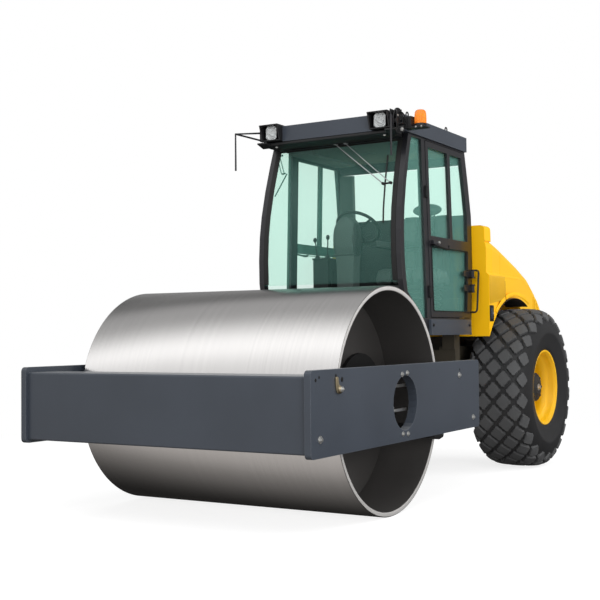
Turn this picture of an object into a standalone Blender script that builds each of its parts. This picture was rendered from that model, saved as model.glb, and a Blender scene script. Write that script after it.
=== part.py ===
"""Single-drum road roller, modelled at its real size.

Units are metres and +Z is up. The drum end faces -Y and the machine's own left
side, with the door handle that is seen first, is +X. Z = 0 is the ground under
the drum and the tyres, and Y = 0 is halfway along the machine.
"""
import bpy
import bmesh
from math import atan2, cos, pi, radians, sin, sqrt
from mathutils import Matrix, Vector

MODEL = "road_roller"

# Gaps between pieces
TOUCH = 0.0003            # between two pieces that are bolted or welded together
RUNNING = 0.006           # between two pieces that move past each other
PIN_PLAY = 0.0008         # round a pin or a rod, and beside a hub

# Overall layout
DRUM_RADIUS = 0.800
TYRE_RADIUS = 0.745
FRONT_OVERHANG = DRUM_RADIUS + 0.490    # drum axis to the front end of the side plates
REAR_OVERHANG = TYRE_RADIUS + 0.715     # rear axle to the back of the bumper
FRAME_HALF_WIDTH = 1.175                # outer face of a side plate
DRUM_TO_PIVOT = DRUM_RADIUS + 0.800
PIVOT_TO_AXLE = TYRE_RADIUS + 0.855
DRUM_Y = (FRONT_OVERHANG - DRUM_TO_PIVOT - PIVOT_TO_AXLE - REAR_OVERHANG) / 2
PIVOT_Y = DRUM_Y + DRUM_TO_PIVOT
AXLE_Y = PIVOT_Y + PIVOT_TO_AXLE
FRONT_Y = DRUM_Y - FRONT_OVERHANG
REAR_Y = AXLE_Y + REAR_OVERHANG

# Drum frame
PLATE = 0.045
PLATE_BOTTOM = 0.524
PLATE_TOP = 1.052
PLATE_CORNER = 0.030
PLATE_IN = FRAME_HALF_WIDTH - PLATE
PLATE_REAR_Y = DRUM_Y + DRUM_RADIUS + 0.550
PLATE_MID_Z = (PLATE_BOTTOM + PLATE_TOP) / 2
OPENING_RADIUS = 0.190
COLLAR_WALL = 0.032
COLLAR_DEPTH = 0.022
BEAM_STEP = 0.022         # how far the beams lie inside the plates' edges
FRONT_BEAM_DEPTH = 0.300
YOKE_DEPTH = 0.360

# Drum
DRUM_HALF_WIDTH = PLATE_IN - 0.065
DRUM_SHELL = 0.033
DRUM_HEAD = 0.030
DRUM_HEAD_X = DRUM_HALF_WIDTH - 0.415   # outer face of the recessed head
DRUM_STUB_RADIUS = 0.080
DRUM_STUB_X = DRUM_HEAD_X + 0.175       # end of the bearing stub
DRUM_STEPS = 60

# Carriers that hold the drum inside its open ends
CARRIER_DISC_RADIUS = 0.330
CARRIER_DISC = 0.030
CARRIER_DISC_X = DRUM_HEAD_X + 0.150    # inner face of the disc
CARRIER_POST_RADIUS = 0.030
CARRIER_POST_CIRCLE = 0.285
CARRIER_HUB_RADIUS = 0.120
CARRIER_HUB_X = DRUM_HEAD_X + 0.050
CARRIER_BAR_Z = 0.088     # height of the two bars above and below the middle
CARRIER_BAR = (0.030, 0.050)
CARRIER_BAR_X = PLATE_IN - 0.140

# Scrapers
SCRAPER_GAP = 0.020
SCRAPER_PLATE = 0.016
SCRAPER_HEIGHT = 0.110
SCRAPER_HALF = DRUM_HALF_WIDTH - 0.165

# Centre joint
EAR = 0.050
EAR_RADIUS = 0.150
EAR_TOP_Z = 0.980
EAR_BOTTOM_Z = 0.600
PIVOT_PIN = 0.050
NECK_HALF = 0.140
NECK_FRONT_RADIUS = 0.140

# Steering cylinders
ARM_X = 0.300             # rod pin, from the middle
ARM_Y = PIVOT_Y - 0.120
BARREL_X = 0.250          # barrel pin, from the middle
BARREL_Y = PIVOT_Y + 0.650
CYLINDER_Z = PLATE_MID_Z
BARREL_RADIUS = 0.050
BARREL_LENGTH = 0.470
ROD_LENGTH = 0.475        # rod eye to the piston's end
BORE_START = 0.115
ROD_RADIUS = 0.025
EYE_RADIUS = 0.046
FOOT_PIN = 0.020
EYE_HALF = 0.035
LUG = 0.025
LUG_HALF = 0.060
LUG_GAP = 0.006

# Rear chassis
RAIL_OUT = 0.460
RAIL_IN = 0.400
RAIL_TOP = 1.140
RAIL_BOTTOM = 0.600
CROSS_Y = BARREL_Y + 0.090
CROSS = 0.050
RAIL_REAR_Y = REAR_Y - 0.260
ENGINE_TOP = 1.720
COWL_ARM_Z = 1.255        # arms that carry the cowl, above the tyres

# Rear axle, wheels and tyres
WHEEL_X = 0.860           # middle of the tyre
TYRE_HALF_WIDTH = 0.290
RIM_RADIUS = 0.351        # outer edge of the rim's flange
RIM_HALF = 0.246
RIM_WALL = 0.014
RIM_WELL_RADIUS = 0.285
DISC_X = 0.800
AXLE_TUBE = 0.115
DIFF_RADIUS = 0.210
HUB_RADIUS = 0.170
ENGINE_BOTTOM = TYRE_RADIUS + DIFF_RADIUS + 0.025

# Tread: rows of diamond blocks on the tyre, the outer rows bent over its shoulders
TREAD_AROUND = 22
TREAD_DEPTH = 0.022
TREAD_GROOVE = 0.13       # share of each block's reach that the groove takes
WHEEL_STEPS = 2 * TREAD_AROUND

# Cab
CAB_FRONT_Y = PIVOT_Y - 0.602   # foremost point of the bowed windscreen
CAB_HALF = 0.670
CAB_WALL = 0.045
CAB_LEAN = 0.040          # how much narrower each metre up from the waist, per unit half-width
WAIST_Z = 2.100
SILL_BOTTOM = 1.249
SILL_TOP = 1.380
CAB_TOP = 2.905
TOE_Z = 1.530
TOE_Y = PIVOT_Y - 0.100
DOOR_FRONT_Y = PIVOT_Y - 0.070
DOOR_GAP = 0.006
DOOR_WALL = 0.036
DOOR_RAIL = 0.050
DOOR_TOP_GAP = 0.020      # from the door's top edge to the cab's
GLASS = 0.006
HINGE_X = CAB_HALF + 0.042
HINGE_Y = PIVOT_Y + 0.800
DOOR_HINGES = (1.640, 1.770)    # underside of each door knuckle
HINGE_HEIGHT = 0.050
HINGE_LUG = 0.012
HINGE_RADIUS = 0.014
FLOOR = 0.050

# Roof
REAR_WALL_TOP = 2.340     # the panel under the rear window
RAIL_HEIGHT = 0.085       # the doors' middle rail
HEADER_Z = 2.865          # underside of the beam over the windscreen
ROOF_TOP = 3.035
ROOF_HALF = CAB_HALF - 0.005
ROOF_FRONT_Y = CAB_FRONT_Y - 0.005
ROOF_REAR_Y = PIVOT_Y + 0.810
LAMP_DEPTH = 0.080        # how far the lamp housings reach back into the roof
LAMP_IN = ROOF_HALF - 0.240
LAMP_OUT = LAMP_IN + 0.182
LAMP_VISOR = 0.030        # how far the visor's upper edge leans out past its middle
LAMP_FRONT_Y = CAB_FRONT_Y - 0.063
LAMP_TOP = ROOF_TOP + 0.010
LAMP_BOTTOM = CAB_TOP + 0.007

# Cowl and hood
SEAT_X = 0.320
CONSOLE_X = 0.010

COWL_Y = PIVOT_Y + 0.905
COWL_TOP = 2.245
COWL_TOP_REAR_Y = PIVOT_Y + 1.060
SEAM_Y = PIVOT_Y + 1.320
HOOD_WALL = 0.022
HOOD_HALF = CAB_HALF + 0.130   # at the cowl, above the ledge
LEDGE = 0.026             # how far the lower side stands out below the ledge
HOOD_TAPER = 0.100        # lost half-width for each metre towards the rear
SKIRT_Z = 1.217
ARCH_RADIUS = TYRE_RADIUS + 0.105
LEDGE_Z = TYRE_RADIUS + ARCH_RADIUS + 0.205
HANDRAIL_X = CAB_HALF + 0.080
HOOD_SHOULDER = 0.110
HOOD_CROWN = 0.030
HOOD_TAIL = 2.440         # where the tail panel starts, behind the centre joint
LOUVRES = 6
LOUVRE = 0.026
GRILLE_HALF = 0.380
GRILLE_LENGTH = 0.220     # along the slope of the tail
GRILLE = 0.030
GRILLE_SLOTS = 5
HOOD_HINGE_X = 0.420
HOOD_HINGE_HALF = 0.035
HOOD_HINGE_RISE = 0.022   # hinge pin above the crest at the seam
HOOD_PIN = 0.008

COLOURS = {
    # name: red, green, blue, roughness, metallic
    "frame_grey": (0.070, 0.082, 0.100, 0.45, 0.0),
    "black": (0.020, 0.020, 0.022, 0.50, 0.0),
    "steel": (0.560, 0.550, 0.540, 0.35, 1.0),
    "yellow": (0.900, 0.500, 0.020, 0.35, 0.0),
    "rubber": (0.025, 0.025, 0.025, 0.85, 0.0),
    "glass": (0.350, 0.600, 0.520, 0.10, 0.0),
    "lamp": (0.800, 0.800, 0.780, 0.20, 0.0),
    "amber": (0.900, 0.300, 0.020, 0.25, 0.0),
    "seat": (0.050, 0.055, 0.055, 0.80, 0.0),
    "console": (0.080, 0.090, 0.090, 0.60, 0.0),
}


def clear_scene():
    """Remove every object that the file starts with."""
    for item in list(bpy.data.objects):
        bpy.data.objects.remove(item, do_unlink=True)


def collection(name):
    """Return a new collection that is linked to the scene."""
    group = bpy.data.collections.new(name)
    bpy.context.scene.collection.children.link(group)
    return group


def paint(name):
    """Return the Principled material of one colour in the table."""
    found = bpy.data.materials.get(name)
    if found:
        return found
    red, green, blue, rough, metal = COLOURS[name]
    made = bpy.data.materials.new(name)
    made.use_nodes = True
    made.diffuse_color = (red, green, blue, 1.0)
    shader = made.node_tree.nodes["Principled BSDF"]
    shader.inputs["Base Color"].default_value = (red, green, blue, 1.0)
    shader.inputs["Roughness"].default_value = rough
    shader.inputs["Metallic"].default_value = metal
    return made


def tool(mesh, name="shape"):
    """Make a helper object, which is joined to or cut from a piece."""
    item = bpy.data.objects.new(name, mesh)
    TOOLS.objects.link(item)
    item.hide_render = True
    item.display_type = "WIRE"
    return item


def from_bmesh(bm, name="shape"):
    """Turn a bmesh into a helper object."""
    bmesh.ops.recalc_face_normals(bm, faces=bm.faces)
    mesh = bpy.data.meshes.new(name)
    bm.to_mesh(mesh)
    bm.free()
    return tool(mesh, name)


def box(x, y, z):
    """Make a box from its ranges along X, Y and Z."""
    bm = bmesh.new()
    bmesh.ops.create_cube(bm, size=1.0)
    size = Vector((x[1] - x[0], y[1] - y[0], z[1] - z[0]))
    middle = Vector(((x[0] + x[1]) / 2, (y[0] + y[1]) / 2, (z[0] + z[1]) / 2))
    bmesh.ops.scale(bm, vec=size, verts=bm.verts)
    bmesh.ops.translate(bm, vec=middle, verts=bm.verts)
    return from_bmesh(bm, "box")


def rod(start, end, radius, steps=24, end_radius=None):
    """Make a round bar or cone between two points."""
    a, b = Vector(start), Vector(end)
    bm = bmesh.new()
    turn = (b - a).to_track_quat("Z", "Y").to_matrix().to_4x4()
    bmesh.ops.create_cone(
        bm, cap_ends=True, segments=steps, radius1=radius,
        radius2=radius if end_radius is None else end_radius,
        depth=(b - a).length, matrix=Matrix.Translation((a + b) / 2) @ turn)
    return from_bmesh(bm, "rod")


def arc(centre, radius, first, last, count):
    """Return points along an arc, with its angles in degrees."""
    return [(centre[0] + radius * cos(radians(first + (last - first) * i / count)),
             centre[1] + radius * sin(radians(first + (last - first) * i / count)))
            for i in range(count + 1)]


def rounded(points, radius, count=4):
    """Round the corners of an outline. The radius is one value or one for each corner."""
    out = []
    size = len(points)
    for i, point in enumerate(points):
        r = radius[i] if isinstance(radius, (list, tuple)) else radius
        here = Vector(point)
        back = (Vector(points[i - 1]) - here).normalized()
        on = (Vector(points[(i + 1) % size]) - here).normalized()
        half = back.angle(on) / 2
        if r <= 0 or abs(half - pi / 2) < 0.02:
            out.append(tuple(here))
            continue
        reach = r / (sin(half) / cos(half))
        centre = here + (back + on).normalized() * (r / sin(half))
        start, end = here + back * reach - centre, here + on * reach - centre
        sweep = start.angle_signed(end)
        for k in range(count + 1):
            out.append(tuple(centre + Matrix.Rotation(-sweep * k / count, 2) @ start))
    return out


def prism(outline, low, high, axis="X", holes=()):
    """Extrude a flat outline along an axis.

    The outline's points are (y, z) for axis X, (x, z) for Y and (x, y) for Z.
    """
    curve = bpy.data.curves.new("outline", "CURVE")
    curve.dimensions = "2D"
    curve.fill_mode = "BOTH"
    curve.extrude = (high - low) / 2
    for ring in (outline, *holes):
        spline = curve.splines.new("POLY")
        spline.points.add(len(ring) - 1)
        for point, (u, v) in zip(spline.points, ring):
            point.co = (u, v, 0.0, 1.0)
        spline.use_cyclic_u = True
    item = bpy.data.objects.new("outline", curve)
    TOOLS.objects.link(item)
    mesh = as_mesh(item)
    middle = (low + high) / 2
    turn = {"X": Matrix(((0, 0, 1, middle), (1, 0, 0, 0), (0, 1, 0, 0), (0, 0, 0, 1))),
            "Y": Matrix(((1, 0, 0, 0), (0, 0, 1, middle), (0, 1, 0, 0), (0, 0, 0, 1))),
            "Z": Matrix.Translation((0, 0, middle))}[axis]
    return place(mesh, turn)


def as_mesh(item):
    """Return a closed mesh of a curve or of an object with modifiers, and remove the object."""
    bpy.context.view_layer.update()
    ready = item.evaluated_get(bpy.context.evaluated_depsgraph_get())
    mesh = bpy.data.meshes.new_from_object(ready)
    mesh.transform(item.matrix_world)
    bpy.data.objects.remove(item, do_unlink=True)
    bm = bmesh.new()
    bm.from_mesh(mesh)
    bmesh.ops.remove_doubles(bm, verts=bm.verts, dist=0.00001)
    loose = [edge for edge in bm.edges if not edge.link_faces]
    bmesh.ops.delete(bm, geom=loose, context="EDGES")
    bm.to_mesh(mesh)
    bm.free()
    return mesh


def place(mesh, matrix):
    """Move a mesh with a matrix and return it as a helper with its faces pointing out."""
    mesh.transform(matrix)
    bm = bmesh.new()
    bm.from_mesh(mesh)
    return from_bmesh(bm)


def turned(profile, steps, centre, axis="X"):
    """Revolve a closed profile of (radius, along) points round a line through the centre."""
    mesh = bpy.data.meshes.new("profile")
    edges = [(i, (i + 1) % len(profile)) for i in range(len(profile))]
    mesh.from_pydata([(r, 0.0, along) for r, along in profile], edges, [])
    item = bpy.data.objects.new("profile", mesh)
    TOOLS.objects.link(item)
    screw = item.modifiers.new("turn", "SCREW")
    screw.steps = steps
    screw.render_steps = steps
    screw.use_merge_vertices = True
    screw.merge_threshold = 0.00001
    turn = {"X": Matrix.Rotation(pi / 2, 4, "Y"), "Z": Matrix.Identity(4)}[axis]
    return place(as_mesh(item), Matrix.Translation(centre) @ turn)


def tube(points, radius, resolution=2):
    """Make a round tube along a line of points, with filled ends."""
    curve = bpy.data.curves.new("tube", "CURVE")
    curve.dimensions = "3D"
    curve.bevel_depth = radius
    curve.bevel_resolution = resolution
    curve.use_fill_caps = True
    spline = curve.splines.new("POLY")
    spline.points.add(len(points) - 1)
    for point, co in zip(spline.points, points):
        point.co = (*co, 1.0)
    item = bpy.data.objects.new("tube", curve)
    TOOLS.objects.link(item)
    return place(as_mesh(item), Matrix.Identity(4))


def bent(points, radius, count=4):
    """Return the points of a 3D line with its inner corners rounded."""
    out = [points[0]]
    for before, here, after in zip(points, points[1:], points[2:]):
        here = Vector(here)
        back = (Vector(before) - here).normalized()
        on = (Vector(after) - here).normalized()
        for k in range(count + 1):
            t = k / count
            start, end = here + back * radius, here + on * radius
            out.append(tuple(start.lerp(here, t).lerp(here.lerp(end, t), t)))
    return out + [points[-1]]


def boolean(item, other, operation):
    """Add one exact Boolean to an object."""
    step = item.modifiers.new(operation.lower(), "BOOLEAN")
    step.operation = operation
    step.solver = "EXACT"
    step.object = other


def lean_at(z):
    """Return how much the cab's width at a height differs from its width at the waist."""
    return 1.0 - CAB_LEAN * max(z - WAIST_Z, WAIST_Z - 3.0)


def piece(name, colour, base, add=(), cut=(), smooth=35, lean=False):
    """Make one named sub-part from a base shape, shapes joined to it and shapes cut from it."""
    for other in add:
        boolean(base, other, "UNION")
    for other in cut:
        boolean(base, other, "DIFFERENCE")
    bpy.context.view_layer.update()
    ready = base.evaluated_get(bpy.context.evaluated_depsgraph_get())
    mesh = bpy.data.meshes.new_from_object(ready)
    if lean:
        for vertex in mesh.vertices:
            vertex.co.x *= lean_at(vertex.co.z)
    mesh.shade_smooth()
    mesh.set_sharp_from_angle(angle=radians(smooth))
    mesh.materials.clear()
    mesh.materials.append(paint(colour))
    item = bpy.data.objects.new(name, mesh)
    PARTS.objects.link(item)
    return item


def on_axis(item, point):
    """Put a piece's origin on its joint's axis without moving the piece."""
    item.data.transform(Matrix.Translation(-Vector(point)))
    item.location = point


def drum():
    """The steel drum: a rolled shell, and a head set back inside each end with its bearing stub."""
    centre = (0, DRUM_Y, DRUM_RADIUS)
    inner = DRUM_RADIUS - DRUM_SHELL
    half = [(DRUM_RADIUS, DRUM_HALF_WIDTH - 0.006), (DRUM_RADIUS - 0.006, DRUM_HALF_WIDTH), (inner, DRUM_HALF_WIDTH)]
    profile = half + [(r, -along) for r, along in reversed(half)]
    on_axis(piece("drum_shell", "steel", turned(profile, DRUM_STEPS, centre)), centre)
    for side, mark in ((1, "left"), (-1, "right")):
        head = [(0.0, DRUM_HEAD_X - DRUM_HEAD), (inner - TOUCH, DRUM_HEAD_X - DRUM_HEAD), (inner - TOUCH, DRUM_HEAD_X),
                (DRUM_STUB_RADIUS, DRUM_HEAD_X), (DRUM_STUB_RADIUS, DRUM_STUB_X), (0.0, DRUM_STUB_X)]
        body = turned([(r, side * along) for r, along in head], DRUM_STEPS, centre)
        on_axis(piece("drum_head_" + mark, "black", body), centre)


def drum_frame():
    """The welded frame round the drum: two side plates, a front beam and the rear yoke."""
    corners = [(FRONT_Y, PLATE_BOTTOM), (PLATE_REAR_Y, PLATE_BOTTOM),
               (PLATE_REAR_Y, PLATE_TOP), (FRONT_Y, PLATE_TOP)]
    ring = arc((DRUM_Y, PLATE_MID_Z), OPENING_RADIUS, 0, 360, 28)[:-1]
    outer = arc((DRUM_Y, PLATE_MID_Z), OPENING_RADIUS + COLLAR_WALL, 0, 360, 28)[:-1]
    for side, mark in ((1, "left"), (-1, "right")):
        low, high = sorted((side * PLATE_IN, side * FRAME_HALF_WIDTH))
        plate = prism(rounded(corners, PLATE_CORNER), low, high, holes=[ring])
        low, high = sorted((side * (PLATE_IN - COLLAR_DEPTH), side * (PLATE_IN + 0.010)))
        collar = prism(outer, low, high, holes=[ring])
        piece("frame_side_" + mark, "frame_grey", plate, [collar])

    inside = PLATE_IN - TOUCH
    low_z, high_z = PLATE_BOTTOM + BEAM_STEP, PLATE_TOP - BEAM_STEP - 0.014
    beam_y = FRONT_Y + BEAM_STEP
    beam = [(beam_y, low_z), (beam_y + FRONT_BEAM_DEPTH, low_z),
            (beam_y + FRONT_BEAM_DEPTH, high_z), (beam_y, high_z)]
    piece("front_beam", "frame_grey", prism(rounded(beam, 0.012, 3), -inside, inside))

    yoke_y = PLATE_REAR_Y - 0.006
    yoke = [(yoke_y - YOKE_DEPTH, low_z), (yoke_y, low_z), (yoke_y, high_z),
            (yoke_y - YOKE_DEPTH, high_z)]
    body = prism(rounded(yoke, 0.012, 3), -inside, inside)
    ears = []
    for low in (EAR_BOTTOM_Z, EAR_TOP_Z - EAR):
        ears.append(ear(0.0, PIVOT_Y, EAR_RADIUS, yoke_y - 0.05, 0.34, low, low + EAR, PIVOT_PIN + TOUCH))
    for side in (1, -1):
        for low in (CYLINDER_Z - EYE_HALF - LUG_GAP - LUG, CYLINDER_Z + EYE_HALF + LUG_GAP):
            ears.append(ear(side * ARM_X, ARM_Y, LUG_HALF, yoke_y - 0.05, LUG_HALF, low, low + LUG))
    piece("frame_yoke", "frame_grey", body, ears)
    head = 0.016
    pin = rod((0, PIVOT_Y, EAR_BOTTOM_Z - head), (0, PIVOT_Y, EAR_TOP_Z + TOUCH + head), PIVOT_PIN, 24)
    cap = rod((0, PIVOT_Y, EAR_TOP_Z + TOUCH), (0, PIVOT_Y, EAR_TOP_Z + TOUCH + head), PIVOT_PIN * 1.6, 24)
    piece("centre_pin", "steel", pin, [cap])


def ear(x, y, radius, root_y, root_half, low, high, bore=0.0):
    """A flat hinge ear that runs back from a beam to a round end, with or without a bore."""
    tip = arc((x, y), radius, 0, 180, 12)
    outline = [(x - root_half, root_y), (x + root_half, root_y), *tip]
    holes = [arc((x, y), bore, 0, 360, 32)[:-1]] if bore else []
    return prism(outline, low, high, "Z", holes=holes)


def drum_carriers():
    """The carriers that reach from each side plate into the drum and hold its stub."""
    for side, mark in ((1, "left"), (-1, "right")):
        def span(a, b):
            return sorted((side * a, side * b))

        def at(x, y, z):
            return (side * x, DRUM_Y + y, DRUM_RADIUS + z)

        disc_out = CARRIER_DISC_X + CARRIER_DISC
        disc = rod(at(CARRIER_DISC_X, 0, 0), at(disc_out, 0, 0), CARRIER_DISC_RADIUS, 28)
        posts = []
        for angle in (45, 135, 225, 315):
            y = CARRIER_POST_CIRCLE * cos(radians(angle))
            z = CARRIER_POST_CIRCLE * sin(radians(angle))
            posts.append(rod(at(disc_out - 0.010, y, z), at(PLATE_IN - TOUCH, y, z), CARRIER_POST_RADIUS, 10))
        reach = CARRIER_POST_CIRCLE * cos(radians(45))
        for z in (-reach, reach):
            thick, tall = CARRIER_BAR
            posts.append(box(span(CARRIER_BAR_X, CARRIER_BAR_X + thick),
                             (DRUM_Y - reach, DRUM_Y + reach),
                             (DRUM_RADIUS + z - tall / 2, DRUM_RADIUS + z + tall / 2)))
        for y in (-reach * 0.55, reach * 0.55):
            posts.append(box(span(CARRIER_BAR_X, CARRIER_BAR_X + CARRIER_BAR[0]),
                             (DRUM_Y + y - 0.02, DRUM_Y + y + 0.02),
                             (DRUM_RADIUS - reach, DRUM_RADIUS + reach)))
        for z in (-CARRIER_BAR_Z, CARRIER_BAR_Z):
            thick, tall = CARRIER_BAR
            posts.append(box(span(CARRIER_BAR_X + 0.01, CARRIER_BAR_X + thick + 0.012),
                             (DRUM_Y - reach * 0.7, DRUM_Y + reach * 0.7),
                             (DRUM_RADIUS + z - tall / 2, DRUM_RADIUS + z + tall / 2)))
        hub = rod(at(CARRIER_HUB_X, 0, 0), at(CARRIER_DISC_X + 0.01, 0, 0), CARRIER_HUB_RADIUS, 24)
        bore = rod(at(CARRIER_HUB_X - 0.02, 0, 0), at(disc_out + 0.02, 0, 0), DRUM_STUB_RADIUS + PIN_PLAY, 24)
        piece("drum_carrier_" + mark, "black", disc, [hub, *posts], [bore])


def scrapers():
    """A scraper bar on the front beam and one on the yoke, close to the drum."""
    z = PLATE_BOTTOM + 0.070
    reach = sqrt((DRUM_RADIUS + SCRAPER_GAP) ** 2 - (DRUM_RADIUS - z) ** 2)
    beam_rear = FRONT_Y + BEAM_STEP + FRONT_BEAM_DEPTH
    yoke_front = PLATE_REAR_Y - 0.006 - YOKE_DEPTH
    for name, tip, root in (("scraper_front", DRUM_Y - reach, beam_rear + TOUCH),
                            ("scraper_rear", DRUM_Y + reach, yoke_front - TOUCH)):
        low, high = sorted((tip, root))
        blade = box((-SCRAPER_HALF, SCRAPER_HALF), (low, high), (z - SCRAPER_PLATE, z))
        back = sorted((root, root + (0.014 if tip > root else -0.014)))
        flange = box((-SCRAPER_HALF, SCRAPER_HALF), back, (z - SCRAPER_PLATE, z + SCRAPER_HEIGHT))
        piece(name, "black", blade, [flange])


def steering_cylinders():
    """Two steering cylinders, each a barrel on the chassis and a rod that reaches the yoke."""
    for side, mark in ((1, "left"), (-1, "right")):
        foot = Vector((side * BARREL_X, BARREL_Y, CYLINDER_Z))
        head = Vector((side * ARM_X, ARM_Y, CYLINDER_Z))
        along = (head - foot).normalized()
        up = Vector((0, 0, EYE_HALF))
        barrel_start = LUG_HALF + 0.022
        barrel = rod(foot + along * barrel_start, foot + along * BARREL_LENGTH, BARREL_RADIUS, 18)
        neck = rod(foot + along * 0.025, foot + along * (barrel_start + 0.010), EYE_HALF - 0.005, 16)
        gland = rod(foot + along * (BARREL_LENGTH - 0.05), foot + along * (BARREL_LENGTH + 0.012),
                    BARREL_RADIUS + 0.008, 18)
        eye = rod(foot - up, foot + up, EYE_RADIUS, 18)
        bore = rod(foot + along * BORE_START, foot + along * (BARREL_LENGTH + 0.05), ROD_RADIUS + PIN_PLAY, 16)
        pin_hole = rod(foot - up * 1.2, foot + up * 1.2, FOOT_PIN + PIN_PLAY, 16)
        item = piece("cylinder_barrel_" + mark, "black", barrel, [gland, neck, eye], [bore, pin_hole])
        on_axis(item, foot)
        shaft = rod(head - along * 0.010, head - along * ROD_LENGTH, ROD_RADIUS, 16)
        rod_eye = rod(head - up, head + up, EYE_RADIUS, 18)
        item = piece("cylinder_rod_" + mark, "steel", shaft, [rod_eye])
        on_axis(item, head)


def chassis():
    """The rear chassis: neck, cross members, two deep rails, cab posts and cylinder lugs."""
    neck_low, neck_high = EAR_BOTTOM_Z + EAR + RUNNING, EAR_TOP_Z - EAR - RUNNING
    tip = arc((0, PIVOT_Y), NECK_FRONT_RADIUS, 180, 360, 14)
    hole = arc((0, PIVOT_Y), PIVOT_PIN + PIN_PLAY, 0, 360, 32)[:-1]
    neck = prism([*tip, (NECK_HALF, CROSS_Y + 0.02), (-NECK_HALF, CROSS_Y + 0.02)],
                 neck_low, neck_high, "Z", holes=[hole])
    parts = []
    for side in (1, -1):
        rail = [(CROSS_Y, RAIL_BOTTOM), (AXLE_Y, RAIL_BOTTOM), (RAIL_REAR_Y, RAIL_BOTTOM + 0.140),
                (RAIL_REAR_Y, RAIL_TOP), (CROSS_Y, RAIL_TOP)]
        low, high = sorted((side * RAIL_IN, side * RAIL_OUT))
        parts.append(prism(rounded(rail, 0.02, 2), low, high))
        for low in (CYLINDER_Z - EYE_HALF - LUG_GAP - LUG, CYLINDER_Z + EYE_HALF + LUG_GAP):
            parts.append(box(sorted((side * (BARREL_X - LUG_HALF), side * (BARREL_X + LUG_HALF))),
                             (BARREL_Y - LUG_HALF, CROSS_Y + 0.02), (low, low + LUG)))
        pin = rod((side * BARREL_X, BARREL_Y, CYLINDER_Z - EYE_HALF - LUG_GAP - LUG / 2),
                  (side * BARREL_X, BARREL_Y, CYLINDER_Z + EYE_HALF + LUG_GAP + LUG / 2), FOOT_PIN, 16)
        parts.append(pin)
    for y, top in ((CROSS_Y, RAIL_TOP), (AXLE_Y + 0.420, ENGINE_BOTTOM - 0.060), (RAIL_REAR_Y - CROSS, RAIL_TOP)):
        parts.append(box((-RAIL_IN - 0.02, RAIL_IN + 0.02), (y, y + CROSS), (RAIL_BOTTOM + 0.140, top - 0.030)))
    for side in (1, -1):
        x = sorted((side * (RAIL_IN + 0.01), side * 0.560))
        parts.append(box(x, (CROSS_Y, CROSS_Y + 0.10), (RAIL_TOP - 0.14, RAIL_TOP)))
        parts.append(box(sorted((side * 0.44, side * 0.56)), (CROSS_Y - 0.02, CROSS_Y + 0.10),
                         (RAIL_TOP - 0.02, SILL_BOTTOM - TOUCH)))
    for side in (1, -1):
        y = (COWL_Y + HOOD_WALL + TOUCH, COWL_Y + HOOD_WALL + 0.060)
        post = box(sorted((side * RAIL_IN, side * RAIL_OUT)), y, (RAIL_TOP - 0.02, COWL_ARM_Z + 0.040))
        arm = box(sorted((side * RAIL_IN, side * (HOOD_HALF + LEDGE - HOOD_WALL - TOUCH))), y,
                  (COWL_ARM_Z, COWL_ARM_Z + 0.040))
        parts += [post, arm]
    cross = rod((-0.6, AXLE_Y, TYRE_RADIUS), (0.6, AXLE_Y, TYRE_RADIUS), AXLE_TUBE + TOUCH, 20)
    piece("rear_chassis", "frame_grey", neck, parts, [cross])

    hub_end = DISC_X - PIN_PLAY
    half = [(DIFF_RADIUS, 0.100), (DIFF_RADIUS * 0.72, 0.200), (AXLE_TUBE, 0.250), (AXLE_TUBE, 0.500),
            (HUB_RADIUS, 0.500), (HUB_RADIUS, hub_end), (0.0, hub_end)]
    profile = half + [(r, -x) for r, x in reversed(half)]
    piece("rear_axle", "black", turned(profile, 20, (0, AXLE_Y, TYRE_RADIUS)))

    block = box((-0.30, 0.30), (AXLE_Y - 0.15, AXLE_Y + 0.80), (ENGINE_BOTTOM, ENGINE_TOP))
    feet = [box((-RAIL_OUT, RAIL_OUT), (y, y + 0.10), (RAIL_TOP + TOUCH, RAIL_TOP + 0.05))
            for y in (AXLE_Y, AXLE_Y + 0.60)]
    piece("engine", "black", block, feet)

    back = RAIL_REAR_Y + TOUCH
    plan = [(-0.56, back), (0.56, back), (0.56, REAR_Y - 0.10), (0.46, REAR_Y), (-0.46, REAR_Y), (-0.56, REAR_Y - 0.10)]
    piece("rear_bumper", "frame_grey", prism(rounded(plan, 0.02, 3), 0.640, 1.120, "Z"))


def tread_lines():
    """The tyre's crown as (x, radius) pairs, one for each line of groove crossings from side to side."""
    half = [(0.0, TYRE_RADIUS), (TYRE_HALF_WIDTH * 0.36, TYRE_RADIUS - 0.003), (TYRE_HALF_WIDTH * 0.72, TYRE_RADIUS - 0.024),
            (TYRE_HALF_WIDTH, TYRE_RADIUS - 0.150)]
    return [(-x, r) for x, r in reversed(half[1:])] + half


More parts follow.
